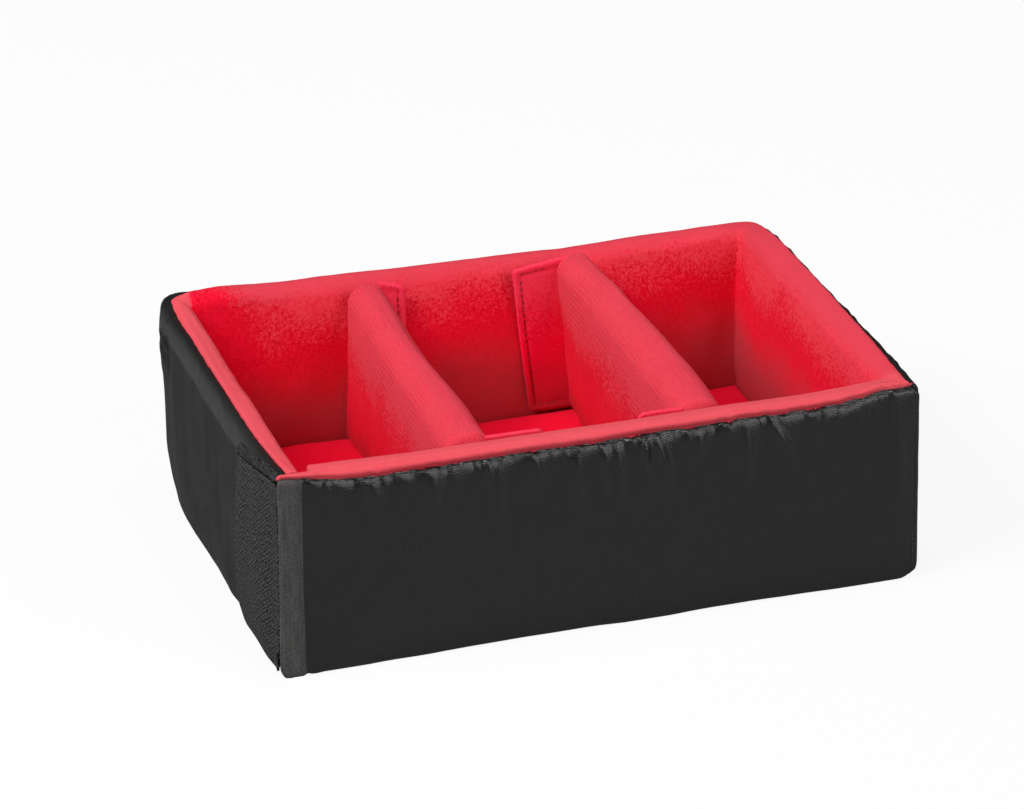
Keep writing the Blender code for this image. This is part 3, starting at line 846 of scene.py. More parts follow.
def beltTable():
    radius, crease = wall["outerCorner"], wall["crease"]
    leftCrease = leftIn - beltPlan["leftPinch"] + crease
    rightCrease = rightIn + beltPlan["rightPinch"] - crease
    creaseY = backIn - crease
    leftLine = straight((leftIn, beltPlan["frontY"]), (leftIn, creaseY))
    rightLine = straight((rightIn, creaseY), (rightIn, frontIn + 0.6 * mm))
    return planTable([
        (pillowed(leftLine, True, beltPlan["pillow"], beltPlan["leftPinch"], (-1, 0)),
         straight((leftOut, beltPlan["frontY"]), (leftOut, backOut - radius))),
        (quarter((leftCrease, creaseY), crease, 180, 90),
         quarter((leftOut + radius, backOut - radius), radius, 180, 90)),
        (straight((leftCrease, backIn), (rightCrease, backIn)),
         straight((leftOut + radius, backOut), (rightOut - radius, backOut))),
        (quarter((rightCrease, creaseY), crease, 90, 0),
         quarter((rightOut - radius, backOut - radius), radius, 90, 0)),
        (pillowed(rightLine, False, beltPlan["pillow"], beltPlan["rightPinch"], (1, 0)),
         straight((rightOut, backOut - radius), (rightOut, frontOut + beltPlan["endGap"]))),
    ])


beltLine = beltTable()
beltSize = np.array([beltLine[0][-1], wall["thickness"], rimHeight])


def placeOnBelt(x, y):  # the distance along the belt of the nearest point of its outer line
    distance, _, outer = beltLine
    return distance[np.argmin(np.hypot(outer[:, 0] - x, outer[:, 1] - y))]


leftCorner, rightCorner = placeOnBelt(leftOut, backOut), placeOnBelt(rightOut, backOut)

# Along the belt, by places on its outer line in mm: how far the seam lies past the rim's outer edge
# (below it where less than 0), the crest's rise and how much slimmer the rim is
beltRows = [
    (-132, -90, 3.6, 0.0, 4.2), (-132, -84, 3.0, 0.0, 4.2), (-132, -71, 0.6, 0.0, 4.1),
    (-132, -57, -1.0, 0.0, 3.9), (-132, -45, -1.4, 0.0, 3.6), (-132, -33, -1.2, 0.0, 3.4),
    (-132, -20, -0.9, 0.0, 3.1), (-132, -9, -0.2, 0.0, 2.8), (-132, 3, 0.3, 0.0, 2.9),
    (-132, 15, 0.9, 0.0, 2.6), (-132, 28, 1.2, 0.0, 2.4), (-132, 41, 1.8, 0.0, 2.0),
    (-132, 53, 2.5, 0.0, 1.6), (-132, 67, 2.2, 0.1, 1.3), (-132, 80, 2.4, 0.4, 0.8),
    (-132, 88, 3.4, 1.2, 0.4), (-132, 95, 4.2, 2.0, 0.2), (-122, 95, 3.0, 2.9, 0.8),
    (-107, 95, -0.8, 3.3, 2.2), (-94, 95, -2.2, 2.5, 2.8), (-80, 95, -2.6, 1.9, 3.0),
    (-54, 95, -2.6, 1.4, 3.0), (-28, 95, -2.6, 0.8, 3.0), (0, 95, -2.6, 0.1, 3.0),
    (26, 95, -2.6, -0.2, 3.0), (46, 95, -2.6, -0.7, 3.0), (66, 95, -2.6, -0.4, 3.0),
    (80, 95, -2.6, 0.0, 3.0), (107, 95, -2.4, 0.1, 2.4), (125, 95, -1.8, -0.3, 1.0),
    (135, 95, -1.2, -1.4, 0.2), (135, 87, -0.6, -0.4, 0.0), (135, 80, 0.4, 1.0, 0.0),
    (135, 60, 0.1, 2.2, 0.0), (135, 25, -0.6, 2.0, 0.0), (135, -10, 0.0, 1.3, 0.0),
    (135, -33, 0.5, 0.7, 0.0), (135, -67, 1.2, 0.3, 0.0), (135, -84, 1.6, -0.5, 0.0),
    (135, -94, 2.0, -0.4, 0.0),
]
beltPlaces = np.array([placeOnBelt(x * mm, y * mm) for x, y, *_ in beltRows])
seamWave = {"long": 0.32 * mm, "short": 0.14 * mm, "longPeriod": 3.8 * mm, "shortPeriod": 1.5 * mm}


def waviness(along, seed):  # a sewn line is never quite straight
    long = seamWave["long"] * drift(along, 0 * along, seamWave["longPeriod"], seed)
    return long + seamWave["short"] * drift(along, 0 * along, seamWave["shortPeriod"], seed + 1)


def beltShape():
    column = lambda number: np.array([row[number] * mm for row in beltRows])
    seamLine = alongWall(beltPlaces, column(2), 3 * mm)
    left, right, end = leftCorner, rightCorner, beltSize[0]
    swellPlaces = [0, 40 * mm, left - 20 * mm, left + 20 * mm, right - 25 * mm, right + 10 * mm, end]
    rimPlaces = [0, left - 8 * mm, left + 14 * mm, right - 12 * mm, right + 8 * mm, end]
    atCorners = lambda along: (np.abs(along - left) < 5 * mm) | (np.abs(along - right) < 5 * mm)
    return {
        "seam": lambda along: rimHeight + seamLine(along) + waviness(along, 71),
        "crest": alongWall(beltPlaces, column(3)),
        "slim": alongWall(beltPlaces, column(4), 8 * mm),
        "swell": alongWall(swellPlaces, inMm(1.5, 2, 1.5, 1.0, 1.0, 3.0, 1.5), 8 * mm),
        "rim": alongWall(rimPlaces, inMm(4.4, 4.6, 5.0, 5.0, 3.2, 3.2)),
        "inner": alongWall([0, left - 14 * mm, left + 6 * mm, end], inMm(2.6, 2.8, 5.2, 5.2)),
        "lowCorners": (2 * mm, 7 * mm), "ends": (2.2 * mm, 1.2 * mm), "foot": 3 * mm,
        "endDepths": (0, 8 * mm),
        "footRise": lambda along: 5.5 * mm * sum(bell(along, corner, 12 * mm) for corner in (left, right)),
        "spread": lambda along: 1.1 * mm * (1 - smooth(along, 6 * mm, 40 * mm)),
        "sewn": lambda block: atCorners(block[:, 0]) & (block[:, 1] < tiny),
        "dip": 0.9 * mm, "roll": 0.5 * mm,
    }


# Folds on the belt's cover: the left wall's soft shoulder, and the crumpled back left corner
beltFolds = [
    (62, 76, 78, 84, 0.7, 3.0), (30, 84, 70, 70, 0.5, 4.0), (96, 30, 104, 80, 0.45, 5.0),
    (130, 20, 136, 78, -0.5, 6.0), (150, 30, 158, 80, 0.5, 5.0), (76, 20, 82, 70, -0.5, 6.0),
    (50, 10, 56, 60, 0.5, 6.0), (162, 80, 128, 78, 0.9, 1.7), (128, 78, 94, 77, 1.1, 1.8),
    (94, 77, 56, 77.5, 1.1, 1.8),
]
cornerFolds = [
    (-19, 85, -6, 80, 1.1, 1.4), (-17, 78, -3, 80, -1.0, 1.2), (-15, 75, -3, 73, 1.1, 1.4),
    (-12, 68, -2, 70, -0.8, 1.5), (-12, 62, -2, 66, 0.8, 2.0), (-9, 70, -3, 84, 1.0, 1.5),
    (-10, 55, -2, 60, 0.5, 3.0), (-17, 60, -12, 77, -0.9, 1.7), (-7, 76, -1, 84, -0.8, 1.2),
    (-14, 82, -9, 70, 0.9, 1.3),
]
leftSwell = alongWall(
    [placeOnBelt(leftOut, y * mm) for y in (-90, -84, -74, -60, -45, -25, 0, 30, 60, 85)],
    inMm(0.8, 2.4, 3.6, 4.1, 4.0, 3.2, 2.5, 2.6, 1.9, 0.8), 5 * mm,
)


def beltRelief(along, girth):
    seam = beltLook["seam"](along)
    below = np.maximum(seam - girth, 0)
    outside = smooth(below, 0, 1.5 * mm)
    deep = smooth(below, 0, 12 * mm)
    fade = np.interp(girth, inMm(-5, 0, 10, 45, 70, 77, 83, 87), [0.4, 0.7, 1, 1, 0.72, 0.66, 0.3, 0])
    swell = leftSwell(along) * fade
    slack = 0.7 * mm * drift(along, girth * 0.4, 30 * mm, 5) + 0.22 * mm * drift(along * 2, girth, 22 * mm, 6)
    hung = gathers(along, below, beltSize[0], 9 * mm, 16 * mm, 0.55 * mm, 11)
    middle = leftCorner / mm
    atCorner = [(a + middle, b, c + middle, d, high, wide) for a, b, c, d, high, wide in cornerFolds]
    singles = folds(along, girth, beltFolds) + folds(along, girth, atCorner)
    bulge = 1.3 * mm * bell(along, leftCorner, 9 * mm) * bell(girth, 70 * mm, 18 * mm)
    foot = sum(bell(along, corner, 10 * mm) for corner in (leftCorner, rightCorner))
    foot = -5.5 * mm * foot * np.clip(1 - girth / (24 * mm), 0, 1) ** 1.7
    inner = 0.3 * mm * drift(along, girth, 26 * mm, 3) + 0.1 * mm * drift(along, girth, 7 * mm, 4)
    shoulder = 0.8 * mm * (1 - bell(below, 0, 1.6 * mm)) * bell(below, 0, 9 * mm)
    soft = (slack * deep + hung + singles + shoulder) * outside
    relief = seamRelief(girth, seam, beltLook) + soft + swell + bulge
    return relief + foot * (girth < 30 * mm) + inner * (1 - outside)


beltLook = beltShape()


def makeBelt():
    belt = newWall(beltSize, beltLine, beltLook, beltRelief, wall["step"])
    sides = ("left", "back", "right")
    linings = [f"{side}_wall_{layer}" for side in sides for layer in ("lining", "foam")]
    covers = [f"{side}_wall_cover" for side in sides]
    steps = beltPlan["alongStep"], beltPlan["rowStep"]
    sewLining("beltLining", belt, redLining, "wall_belt", linings)
    sewCover("beltCover", belt, blackSide, "wall_belt", covers, 0.9, *steps)
    return belt


belt = makeBelt()
print("belt of walls made")


# The front wall, from its sewn corner at the right to its tapered end at the left

frontPlan = {
    "start": rightOut - 1.0 * mm, "taperFrom": -117.5 * mm, "taperTo": -121.5 * mm, "end": -134.5 * mm,
    "endDepth": 4.4 * mm, "step": 4.4 * mm, "alongStep": 0.8 * mm, "rowStep": 1.3 * mm,
}


def frontTable():
    plan = frontPlan
    shallow = frontOut + plan["endDepth"]
    return planTable([
        (straight((rightIn - 0.4 * mm, frontIn), (leftIn + 0.3 * mm, frontIn)),
         straight((plan["start"], frontOut), (plan["taperFrom"], frontOut))),
        (straight((leftIn + 0.3 * mm, frontIn), (leftIn - 0.6 * mm, shallow), 30),
         straight((plan["taperFrom"], frontOut), (plan["taperTo"], frontOut), 30)),
        (straight((leftIn - 0.6 * mm, shallow), (plan["end"] + 0.6 * mm, shallow - 0.2 * mm), 30),
         straight((plan["taperTo"], frontOut), (plan["end"], frontOut), 30)),
    ])


frontLine = frontTable()
frontSize = np.array([frontLine[0][-1], wall["thickness"], rimHeight])
frontRows = [  # the place across the tray, how far the seam lies past the outer edge, and the crest, in mm
    (-135, 1.2, 0.2), (-129.5, -0.2, 0.4), (-125.5, -1.2, 0.3), (-117, -2.5, 0), (-105, -4.6, 0),
    (-93, -4.6, 0), (-76, -4.6, 0), (-60, -4.6, 0), (-43, -4.2, 0), (-22, -4.2, 0), (-1, -4.8, 0),
    (20, -4.0, 0), (41, -4.0, 0), (62, -3.8, 0), (84, -4.3, 0), (101, -3.9, 0.1), (114, -1.7, 0.2),
    (122, 0.8, 0.3), (128, 0.3, 0.2), (134, -0.6, 0.2),
]


def placeOnFront(x):
    distance, _, outer = frontLine
    return distance[np.argmin(np.abs(outer[:, 0] - x))]


def frontShape():
    places = np.array([placeOnFront(x * mm) for x, *_ in frontRows])[::-1]
    column = lambda number: np.array([row[number] * mm for row in frontRows])[::-1]
    seamLine = alongWall(places, column(1), 2.5 * mm)
    plain = lambda value: (lambda along: value + 0 * along)
    return {
        "seam": lambda along: rimHeight + seamLine(along) + waviness(along, 81),
        "crest": alongWall(places, column(2)),
        "slim": plain(0), "swell": plain(1.2 * mm), "rim": plain(4.0 * mm), "inner": plain(3.8 * mm),
        "footRise": plain(0), "lowCorners": (7 * mm, 6 * mm), "ends": (1.0 * mm, 0.9 * mm),
        "foot": 2 * mm, "endDepths": (8 * mm, 0),
        "spread": lambda along: 1.2 * mm * smooth(along, frontSize[0] - 30 * mm, frontSize[0] - 4 * mm),
        "sewn": lambda block: block[:, 0] > frontSize[0] - 18 * mm,
        "dip": 0.7 * mm, "roll": 1.1 * mm,
    }


frontCrease = placeOnFront(-124.2 * mm)
frontFolds = [  # by the distance from the right end and the girth, in mm
    (175, 81, 175.5, 58, 1.3, 3.0), (178.8, 81, 178.8, 70, 0.9, 1.3), (201, 81, 202, 66, 0.9, 2.6),
    (142.4, 80, 142.8, 60, 1.3, 2.6), (130.7, 80, 131.2, 62, 1.3, 2.0), (126.5, 80, 124.5, 58, 1.1, 2.2),
    (114.7, 81, 114.9, 70, 1.3, 1.6), (109.6, 81, 104.2, 60, 1.3, 1.9), (71.7, 79, 71.9, 58, 1.1, 2.6),
    (60.7, 78, 53.3, 66, 1.1, 2.0), (8.5, 82, 8, 40, 0.9, 4.0), (20, 84, 40, 74, 0.5, 3.5),
    (160, 81, 158, 70, 0.7, 2.0), (91, 81, 92, 72, 0.8, 1.8), (226, 80, 224, 68, 0.7, 2.4),
]


def frontRelief(along, girth):
    seam = frontLook["seam"](along)
    below = np.maximum(seam - girth, 0)
    outside = smooth(below, 0, 0.8 * mm)
    middle = 0.35 + 0.65 * smooth(along, 30 * mm, 75 * mm) * (1 - smooth(along, 200 * mm, 235 * mm))
    atBand = 1 - smooth(along, frontCrease - 4 * mm, frontCrease + 1 * mm)
    hung = gathers(along, below, frontSize[0], 9 * mm, 14 * mm, 1.1 * mm, 31) * middle
    fine = gathers(along, below, frontSize[0], 2.8 * mm, 3.6 * mm, 0.9 * mm, 32)
    slack = 0.45 * mm * drift(along, girth * 0.35, 30 * mm, 33) + 0.15 * mm * drift(along, girth, 14 * mm, 34)
    atCorner = smooth(along, 0, 16 * mm)
    shoulder = 0.9 * mm * (1 - bell(below, 0, 3.0 * mm))
    shoulder = shoulder + 0.3 * mm * atCorner * (1 - np.exp(-below / (7 * mm)))
    shoulder = shoulder * bell(below, 0, 45 * mm)
    crease = -0.7 * mm * bell(along, frontCrease, 1.5 * mm)
    inner = 0.3 * mm * drift(along, girth, 26 * mm, 23) + 0.1 * mm * drift(along, girth, 7 * mm, 24)
    full = 1.6 * mm * smooth(along, 180 * mm, 262 * mm) * np.clip(1 - girth / (46 * mm), 0, 1)
    full = full * smooth(girth, -4 * mm, 2 * mm)
    full += 0.8 * mm * (1 - smooth(along, 2 * mm, 30 * mm)) * bell(girth, 34 * mm, 26 * mm)
    loose = hung + fine + slack * smooth(below, 0, 12 * mm) + 1.5 * folds(along, girth, frontFolds)
    soft = loose * atBand + shoulder * (0.45 + 0.55 * atBand) + crease + full
    return seamRelief(girth, seam, frontLook) + soft * outside + inner * (1 - outside)


frontLook = frontShape()


def makeFrontWall():
    front = newWall(frontSize, frontLine, frontLook, frontRelief, frontPlan["step"])
    linings = ["front_wall_lining", "front_wall_foam"]
    steps = frontPlan["alongStep"], frontPlan["rowStep"]
    sewLining("frontWallLining", front, redLining, "front_wall", linings)
    sewCover("frontWallCover", front, blackCover, "front_wall", ["front_wall_cover"], 0.9, *steps)
    return front


front = makeFrontWall()
print("front wall made")


# The closure at the front left corner

# A piece of fabric laid on a wall: its grid covers the wall from one end to another, between a low
# and a high girth for each place along it. What lies before the start stays close to the wall's
# place there.
def layFabric(name, pad, alongs, low, high, rows, lift, thickness, material, past=None, start=0.0):
    share = np.linspace(0, 1, rows)
    along = np.repeat(alongs[:, None], rows, axis=1)
    girth = low[:, None] + (high - low)[:, None] * share
    kept = np.minimum(np.where(along < start, start + 0.02 * (along - start), along), pad["size"][0])
    points, quads, _ = onWall(pad, kept, girth, lift)
    if past is not None:
        points = past(points, along, girth)
    uv = np.column_stack([along.ravel(), girth.ravel()])
    return newFabric(name, points.reshape(-1, 3), quads, uv, material, thickness)


# How far a rounded corner of a radius takes a fabric's edge in, by the distance from its end
def cornerCut(distance, radius):
    near = np.clip(radius - distance, 0, radius)
    return radius - np.sqrt(radius**2 - near**2)


closure = {
    "bandFrom": -124.6 * mm, "bandLift": 0.55 * mm, "bandThick": 0.5 * mm,
    "tapeBack": -41.5 * mm, "tapeLow": 0.6 * mm, "tapeTop": 83.4 * mm, "tapeTopBack": 76.0 * mm,
    "tapeFirst": -3.8 * mm, "tapeCorner": 5 * mm, "tapeLowCorner": 8 * mm, "flatFrom": 3 * mm,
    "turn": 0.9 * mm, "splay": 1.2 * mm, "tapeLift": 2.0 * mm, "tapeThick": 0.9 * mm,
    "patchBack": -40.0 * mm, "patchTop": 86.2 * mm, "patchSlope": 6.4 * mm, "patchLift": 0.5 * mm,
    "patchThick": 0.6 * mm, "patchCorner": 2.5 * mm, "cornerX": -135.3 * mm,
    "hooksFrom": 11 * mm, "hooksLow": 9 * mm, "hooksHigh": 76 * mm, "hooksMargin": 4 * mm,
    "hookPitch": 1.5 * mm, "hookReach": 0.5 * mm, "hookCurl": 0.3 * mm, "hookRadius": 0.13 * mm,
    "loops": 700, "loopRadius": 0.09 * mm, "loopWidths": (0.25, 0.55), "loopHeights": (0.3, 0.8),
    "loopRise": 0.4 * mm,
}


def makeBand():
    start = placeOnFront(closure["bandFrom"])
    alongs = np.linspace(start, frontSize[0], 34)
    low = 0.2 * mm + 0 * alongs
    high = frontLook["seam"](alongs) - 0.25 * mm
    lift = closure["bandLift"] * (0.15 + 0.85 * smooth(alongs, start, start + 3.5 * mm))[:, None]
    band = layFabric("closureBand", front, alongs, low, high, 90, lift, closure["bandThick"], greyBand)
    attach(band, "front_wall", "black_nylon", "closure_band")


def makePatch():
    back = placeOnBelt(leftOut, closure["patchBack"])
    alongs = np.linspace(0.5 * mm, back, 50)
    cut = cornerCut(back - alongs, closure["patchCorner"])
    top = closure["patchTop"] - closure["patchSlope"] * alongs / back - cut
    lift, thick = closure["patchLift"], closure["patchThick"]
    patch = layFabric("loopPatch", belt, alongs, 4 * mm + cut, top, 80, lift, thick, loopFabric)
    attach(patch, "wall_belt", "hook_tape", "left_wall_loop_patch")


# The tape lies straight from the wall's end to the corner, where it turns and meets the band
def makeTape():
    back = placeOnBelt(leftOut, closure["tapeBack"])
    first, flatFrom = closure["tapeFirst"], closure["flatFrom"]
    rolled = first - closure["turn"] * np.pi / 2 * np.linspace(1, 0, 7)[:-1]
    alongs = np.concatenate([rolled, np.linspace(first, back, 60)])
    share = np.clip((alongs - first) / (back - first), 0, 1)
    cut = cornerCut(back - alongs, closure["tapeCorner"])
    low = closure["tapeLow"] + cut + cornerCut(alongs - first, closure["tapeLowCorner"])
    high = closure["tapeTop"] + (closure["tapeTopBack"] - closure["tapeTop"]) * share**0.9 - cut

    def past(points, along, girth):
        points[..., 1] += np.minimum(np.maximum(along, first) - flatFrom, 0)
        corner = closure["cornerX"] - closure["splay"] * (1 - girth / rimHeight)
        front = smooth(4 * mm - along, 0, 6 * mm)
        points[..., 0] += (corner - points[..., 0]) * front
        angle = np.maximum(first - along, 0) / closure["turn"]
        points[..., 0] += closure["turn"] * (1 - np.cos(angle))
        points[..., 1] -= closure["turn"] * np.sin(angle)
        return points

    lift, thick = closure["tapeLift"], closure["tapeThick"]
    tape = layFabric("closureTape", belt, alongs, low, high, 96, lift, thick, tapeWeave, past, flatFrom)
    attach(tape, "closure_flap", "hook_tape", "closure_tape", "closure_hooks")


makeBand()
makePatch()
makeTape()
print("closure made")


# The base pad

base = {
    "side": 2.2 * mm, "foot": 2.2 * mm, "crown": 1.8 * mm, "rise": 2.2 * mm, "seam": 7.2 * mm,
    "step": 6 * mm, "pressure": 2.0, "cap": 0.8 * mm,
}


def makeBase():
    low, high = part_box("base_cover")[0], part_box("base_lining")[1]
    size = np.array([high.x - low.x, high.y - low.y, high.z - low.z - 1 * mm])
    marks = [marksAlong(size[0], base["side"], base["side"], base["step"]),
             marksAlong(size[1], base["side"], base["side"], base["step"]),
             marksAlong(size[2], base["foot"], base["side"], base["step"], [base["seam"]])]
    _, block, quads = blockOf(marks)
    middle = block[quads].mean(axis=1)
    fabric = (middle[:, 2] < base["seam"]).astype(np.int32)

    def form(block):
        count = len(block)
        side, foot = np.full(count, base["side"]), np.full(count, base["foot"])
        under, over = np.column_stack([side, side, foot]), np.column_stack([side, side, side])
        rounded = roundOff(block, size, under, over)
        u, v = 2 * rounded[:, 0] / size[0] - 1, 2 * rounded[:, 1] / size[1] - 1
        dome = base["crown"] * (1 - u**4) * (1 - v**4) * rounded[:, 2] / size[2]
        dome += base["rise"] * (1 - smooth(u, -0.75, 0.1)) * smooth(v, -0.3, 0.7) * rounded[:, 2] / size[2]
        return rounded + np.column_stack([0 * u, 0 * u, dome]) + np.array([low.x, low.y, low.z])

    def held(block):
        flat = block[:, :2]
        sides = ((flat < tiny) | (flat > size[:2] - tiny)).any(axis=1)
        seam = sides & (np.abs(block[:, 2] - base["seam"]) < tiny)
        return np.where(seam | (block[:, 2] < tiny), 1.0, 0.0)

    points, cells, place, kind, _ = newPad(block, quads, fabric, form, held, base["pressure"], base["cap"])
    x, y, height = place.T
    waves = 0.35 * mm * drift(x, y, 24 * mm, 41) + 0.1 * mm * drift(x, y, 6 * mm, 42)
    points = points + normalsOf(points, cells) * (smooth(height, 8 * mm, size[2]) * waves)[:, None]
    for which, (name, material, nodes, slot) in enumerate((
        ("basePadLining", redBase, ("base_lining", "base_foam"), "red_fleece"),
        ("basePadCover", blackCover, ("base_cover",), "black_nylon"),
    )):
        piece = newFabric(name, points, cells[kind == which], place[:, :2], material, wall["liningThick"])
        attach(piece, "base_pad", slot, *nodes)


makeBase()
print("base pad made")


# The two dividers

dividerLook = {
    "left_divider": {
        "turn": -2.1, "bow": 0.9 * mm, "seed": 51, "crest": 0.6 * mm, "backPull": (0.4 * mm, -1.3 * mm),
        "narrow": 1.5 * mm, "edge": [1.0, 0.0, -0.4, -2.6, -3.8, -3.8, -2.6, -1.0, 0.0],
    },
    "right_divider": {
        "turn": -1.7, "bow": 1.2 * mm, "seed": 61, "crest": 1.2 * mm, "backPull": (-3.0 * mm, 2.5 * mm),
        "narrow": 5.0 * mm, "edge": [0.9, 0.9, 0.9, -1.0, -2.4, -3.8, -3.2, -1.2, 0.0],
    },
    "edgePlaces": [-85, -65, -40, -10, 10, 30, 50, 70, 85],
    "thickness": 18.5 * mm, "top": 7.5 * mm, "edge": 3.5 * mm, "step": 5 * mm, "swell": 1.1 * mm,
    "pressure": 3.0, "cap": 1.2 * mm,
}


# A divider's block is rounded at its edges, crowned on both faces, bowed along its length, and its
# back end is pulled sideways: to one side at the top and to the other at the foot. The right edge of
# its crest is drawn in by a value given along it, in mm.
def makeDivider(name):
    look = dividerLook[name]
    low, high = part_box(f"{name}_sleeve")
    turn = math.radians(look["turn"])
    middle = (low + high) / 2
    length = (high.y - low.y - dividerLook["thickness"] * math.sin(abs(turn))) / math.cos(turn)
    size = np.array([dividerLook["thickness"], length, high.z - low.z])
    top, edge = dividerLook["top"], dividerLook["edge"]
    edgeLine = alongWall(np.array(dividerLook["edgePlaces"]) * mm, np.array(look["edge"]) * mm, 8 * mm)
    marks = [marksAlong(size[0], edge, 0, 4 * mm, [size[0] - edge]),
             marksAlong(size[1], edge, edge, dividerLook["step"]),
             marksAlong(size[2], edge, top, dividerLook["step"])]
    _, block, quads = blockOf(marks)

    def form(block):
        nearTop = smooth(block[:, 2], size[2] - 20 * mm, size[2] - top)
        side = edge + (top - edge) * nearTop
        ends, foot, crest = (np.full(len(block), radius) for radius in (edge, edge, top))
        under, over = np.column_stack([side, ends, foot]), np.column_stack([side, ends, crest])
        rounded = roundOff(block, size, under, over)
        x, y, z = rounded[:, 0] - size[0] / 2, rounded[:, 1] - size[1] / 2, rounded[:, 2]
        along, up = 2 * y / size[1], z / size[2]
        crown = dividerLook["swell"] * (1 - along**4) * np.sin(np.pi * np.clip(up, 0, 1)) ** 0.8
        x = x * (1 + 2 * crown / size[0])
        atBack = smooth(along, 0.45, 1.0)
        x = x + look["bow"] * (1 - along**2) * up
        x = x + edgeLine(y) * np.clip(2 * x / size[0], 0, 1) * smooth(up, 0.3, 0.9)
        x = x + look["backPull"][0] * atBack * smooth(up, 0.4, 1.0)
        x = x + look["backPull"][1] * atBack * (1 - smooth(up, 0.0, 0.5))
        x = x - look["narrow"] * atBack * smooth(up, 0.5, 1.0) * (x > 0) * x / (size[0] / 2)
        z = z + look["crest"] * smooth(along, -0.5, 0.9) * up
        turnedX = x * math.cos(turn) - y * math.sin(turn) + middle.x
        turnedY = x * math.sin(turn) + y * math.cos(turn) + middle.y
        return np.column_stack([turnedX, turnedY, z + low.z])

    def held(block):
        ends = (block[:, 1] < tiny) | (block[:, 1] > size[1] - tiny)
        return np.where(ends | (block[:, 2] < tiny), 1.0, 0.0)

    oneKind = np.zeros(len(quads), np.int32)
    pressure, cap = dividerLook["pressure"], dividerLook["cap"]
    points, cells, place, *_ = newPad(block, quads, oneKind, form, held, pressure, cap)
    across, along, up = place.T
    side = up + across * 0.7
    waves = 0.4 * mm * drift(along, side, 30 * mm, look["seed"])
    waves = waves + 0.1 * mm * drift(along, side, 8 * mm, look["seed"] + 1)
    points = points + normalsOf(points, cells) * waves[:, None]
    girth = np.where(across < size[0] / 2, up, 2 * size[2] - up) + across
    piece = newFabric(name + "Pad", points, cells, np.column_stack([girth, along]), redSleeve, 0)
    attach(piece, name, "red_fleece", f"{name}_foam", f"{name}_sleeve")


for dividerName in ("left_divider", "right_divider"):
    makeDivider(dividerName)
print("dividers made")


# The dividers' hook flaps

flap = {
    "thick": 1.5 * mm, "hem": 3.0 * mm, "hemRise": 0.45 * mm, "groove": 0.7 * mm, "corner": 2 * mm,
    "topRise": 3.2 * mm, "tucks": [8 * mm, 5.5 * mm, 3.5 * mm], "slack": 0.45 * mm, "rounding": 0.5 * mm,
    "stitch": 1.8 * mm, "stitchPitch": 3.0 * mm, "threadRadius": 0.24 * mm, "tapeThick": 0.45 * mm,
    "hookInset": 1.2 * mm, "hookPitch": 1.7 * mm, "hookHeight": 1.0 * mm, "hookRadius": 0.13 * mm,
}
flapEdges = {  # the free edge's place by its height, in mm, and the slack of the fabric
    "left_divider_back": ([17, 85], [-29.2, -28.8]),
    "left_divider_front": ([17, 85], [-19.2, -19.6]),
    "right_divider_back": ([13.4, 19.4, 50.6, 84.5], [27.2, 25.2, 21.6, 18.4]),
    "right_divider_front": ([17, 85], [20.4, 20.6]),
}


# Rows of small hooks: each rises from the tape and curls over
def hookField(name, feet, out, curl, material):
    share = np.linspace(0, 1, 5)
    rise = flap["hookHeight"] * np.sin(np.pi * np.minimum(share, 0.62) / 1.24)
    rise = rise * np.where(share > 0.62, 0.86, 1)
    bend = flap["hookHeight"] * 0.55 * share**2
    paths = feet[:, None, :] + rise[:, None] * out + bend[:, None] * curl
    sides = np.broadcast_to(np.cross(out, curl), (len(feet), 3))
    return manyTubes(name, paths, sides, flap["hookRadius"], 4, material)


def makeFlap(divider, end):
    name = f"{divider}_{end}_flap"
    low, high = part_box(name)
    side = 1 if divider == "left_divider" else -1
    toWall = 1 if end == "back" else -1
    heights, edges = flapEdges[f"{divider}_{end}"]
    up = np.linspace(low.z, high.z, 56)
    root = (low.x if side > 0 else high.x) - side * np.interp(up, [low.z, 40 * mm, 62 * mm], flap["tucks"])
    free = np.interp(up, np.array(heights) * mm, np.array(edges) * mm)
    distanceUp = np.minimum(up - low.z, high.z - up)
    width = (free - root) * side
    across = np.linspace(0, 1, 30)[:, None] * (width - cornerCut(distanceUp, flap["corner"]))[None, :]
    toEdge = np.minimum(width[None, :] - across, distanceUp[None, :])
    hem = flap["hemRise"] * (1 - smooth(toEdge, flap["hem"] - 0.7 * mm, flap["hem"]))
    groove = flap["groove"] * bell(toEdge, flap["hem"] + 0.3 * mm, 0.5 * mm)
    rounding = flap["rounding"] * (1 - smooth(toEdge, 0, 1.0 * mm))
    seed = len(name) + (3 if side > 0 else 0)
    slack = flap["slack"] * drift(across, up[None, :] + 0 * across, 16 * mm, seed)
    face = (low.y + high.y) / 2 - toWall * flap["thick"] / 2
    y = face - toWall * (hem - groove - rounding + np.maximum(slack, -0.1 * mm))
    topRise = flap["topRise"] if end == "back" else 0
    raised = up[None, :] + topRise * (1 - across / width[None, :]) * smooth(up, low.z + 30 * mm, high.z)
    points = np.stack([root[None, :] + side * across, y, raised], axis=-1)
    quads = gridCells(*across.shape)
    if side * toWall > 0:
        quads = quads[:, ::-1]
    uv = np.column_stack([across.ravel(), (up[None, :] + 0 * across).ravel()])
    piece = newFabric(name + "Fleece", points.reshape(-1, 3), quads, uv, redFlap, flap["thick"])
    body = name + "_body"
    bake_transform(piece)
    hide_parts(name)
    makeFlapStitches(name, body, root, side, toWall, points, low, high, width)
    makeFlapHooks(name.replace("flap", "hooks"), body, toWall, side, up, free - side * flap["hookInset"])


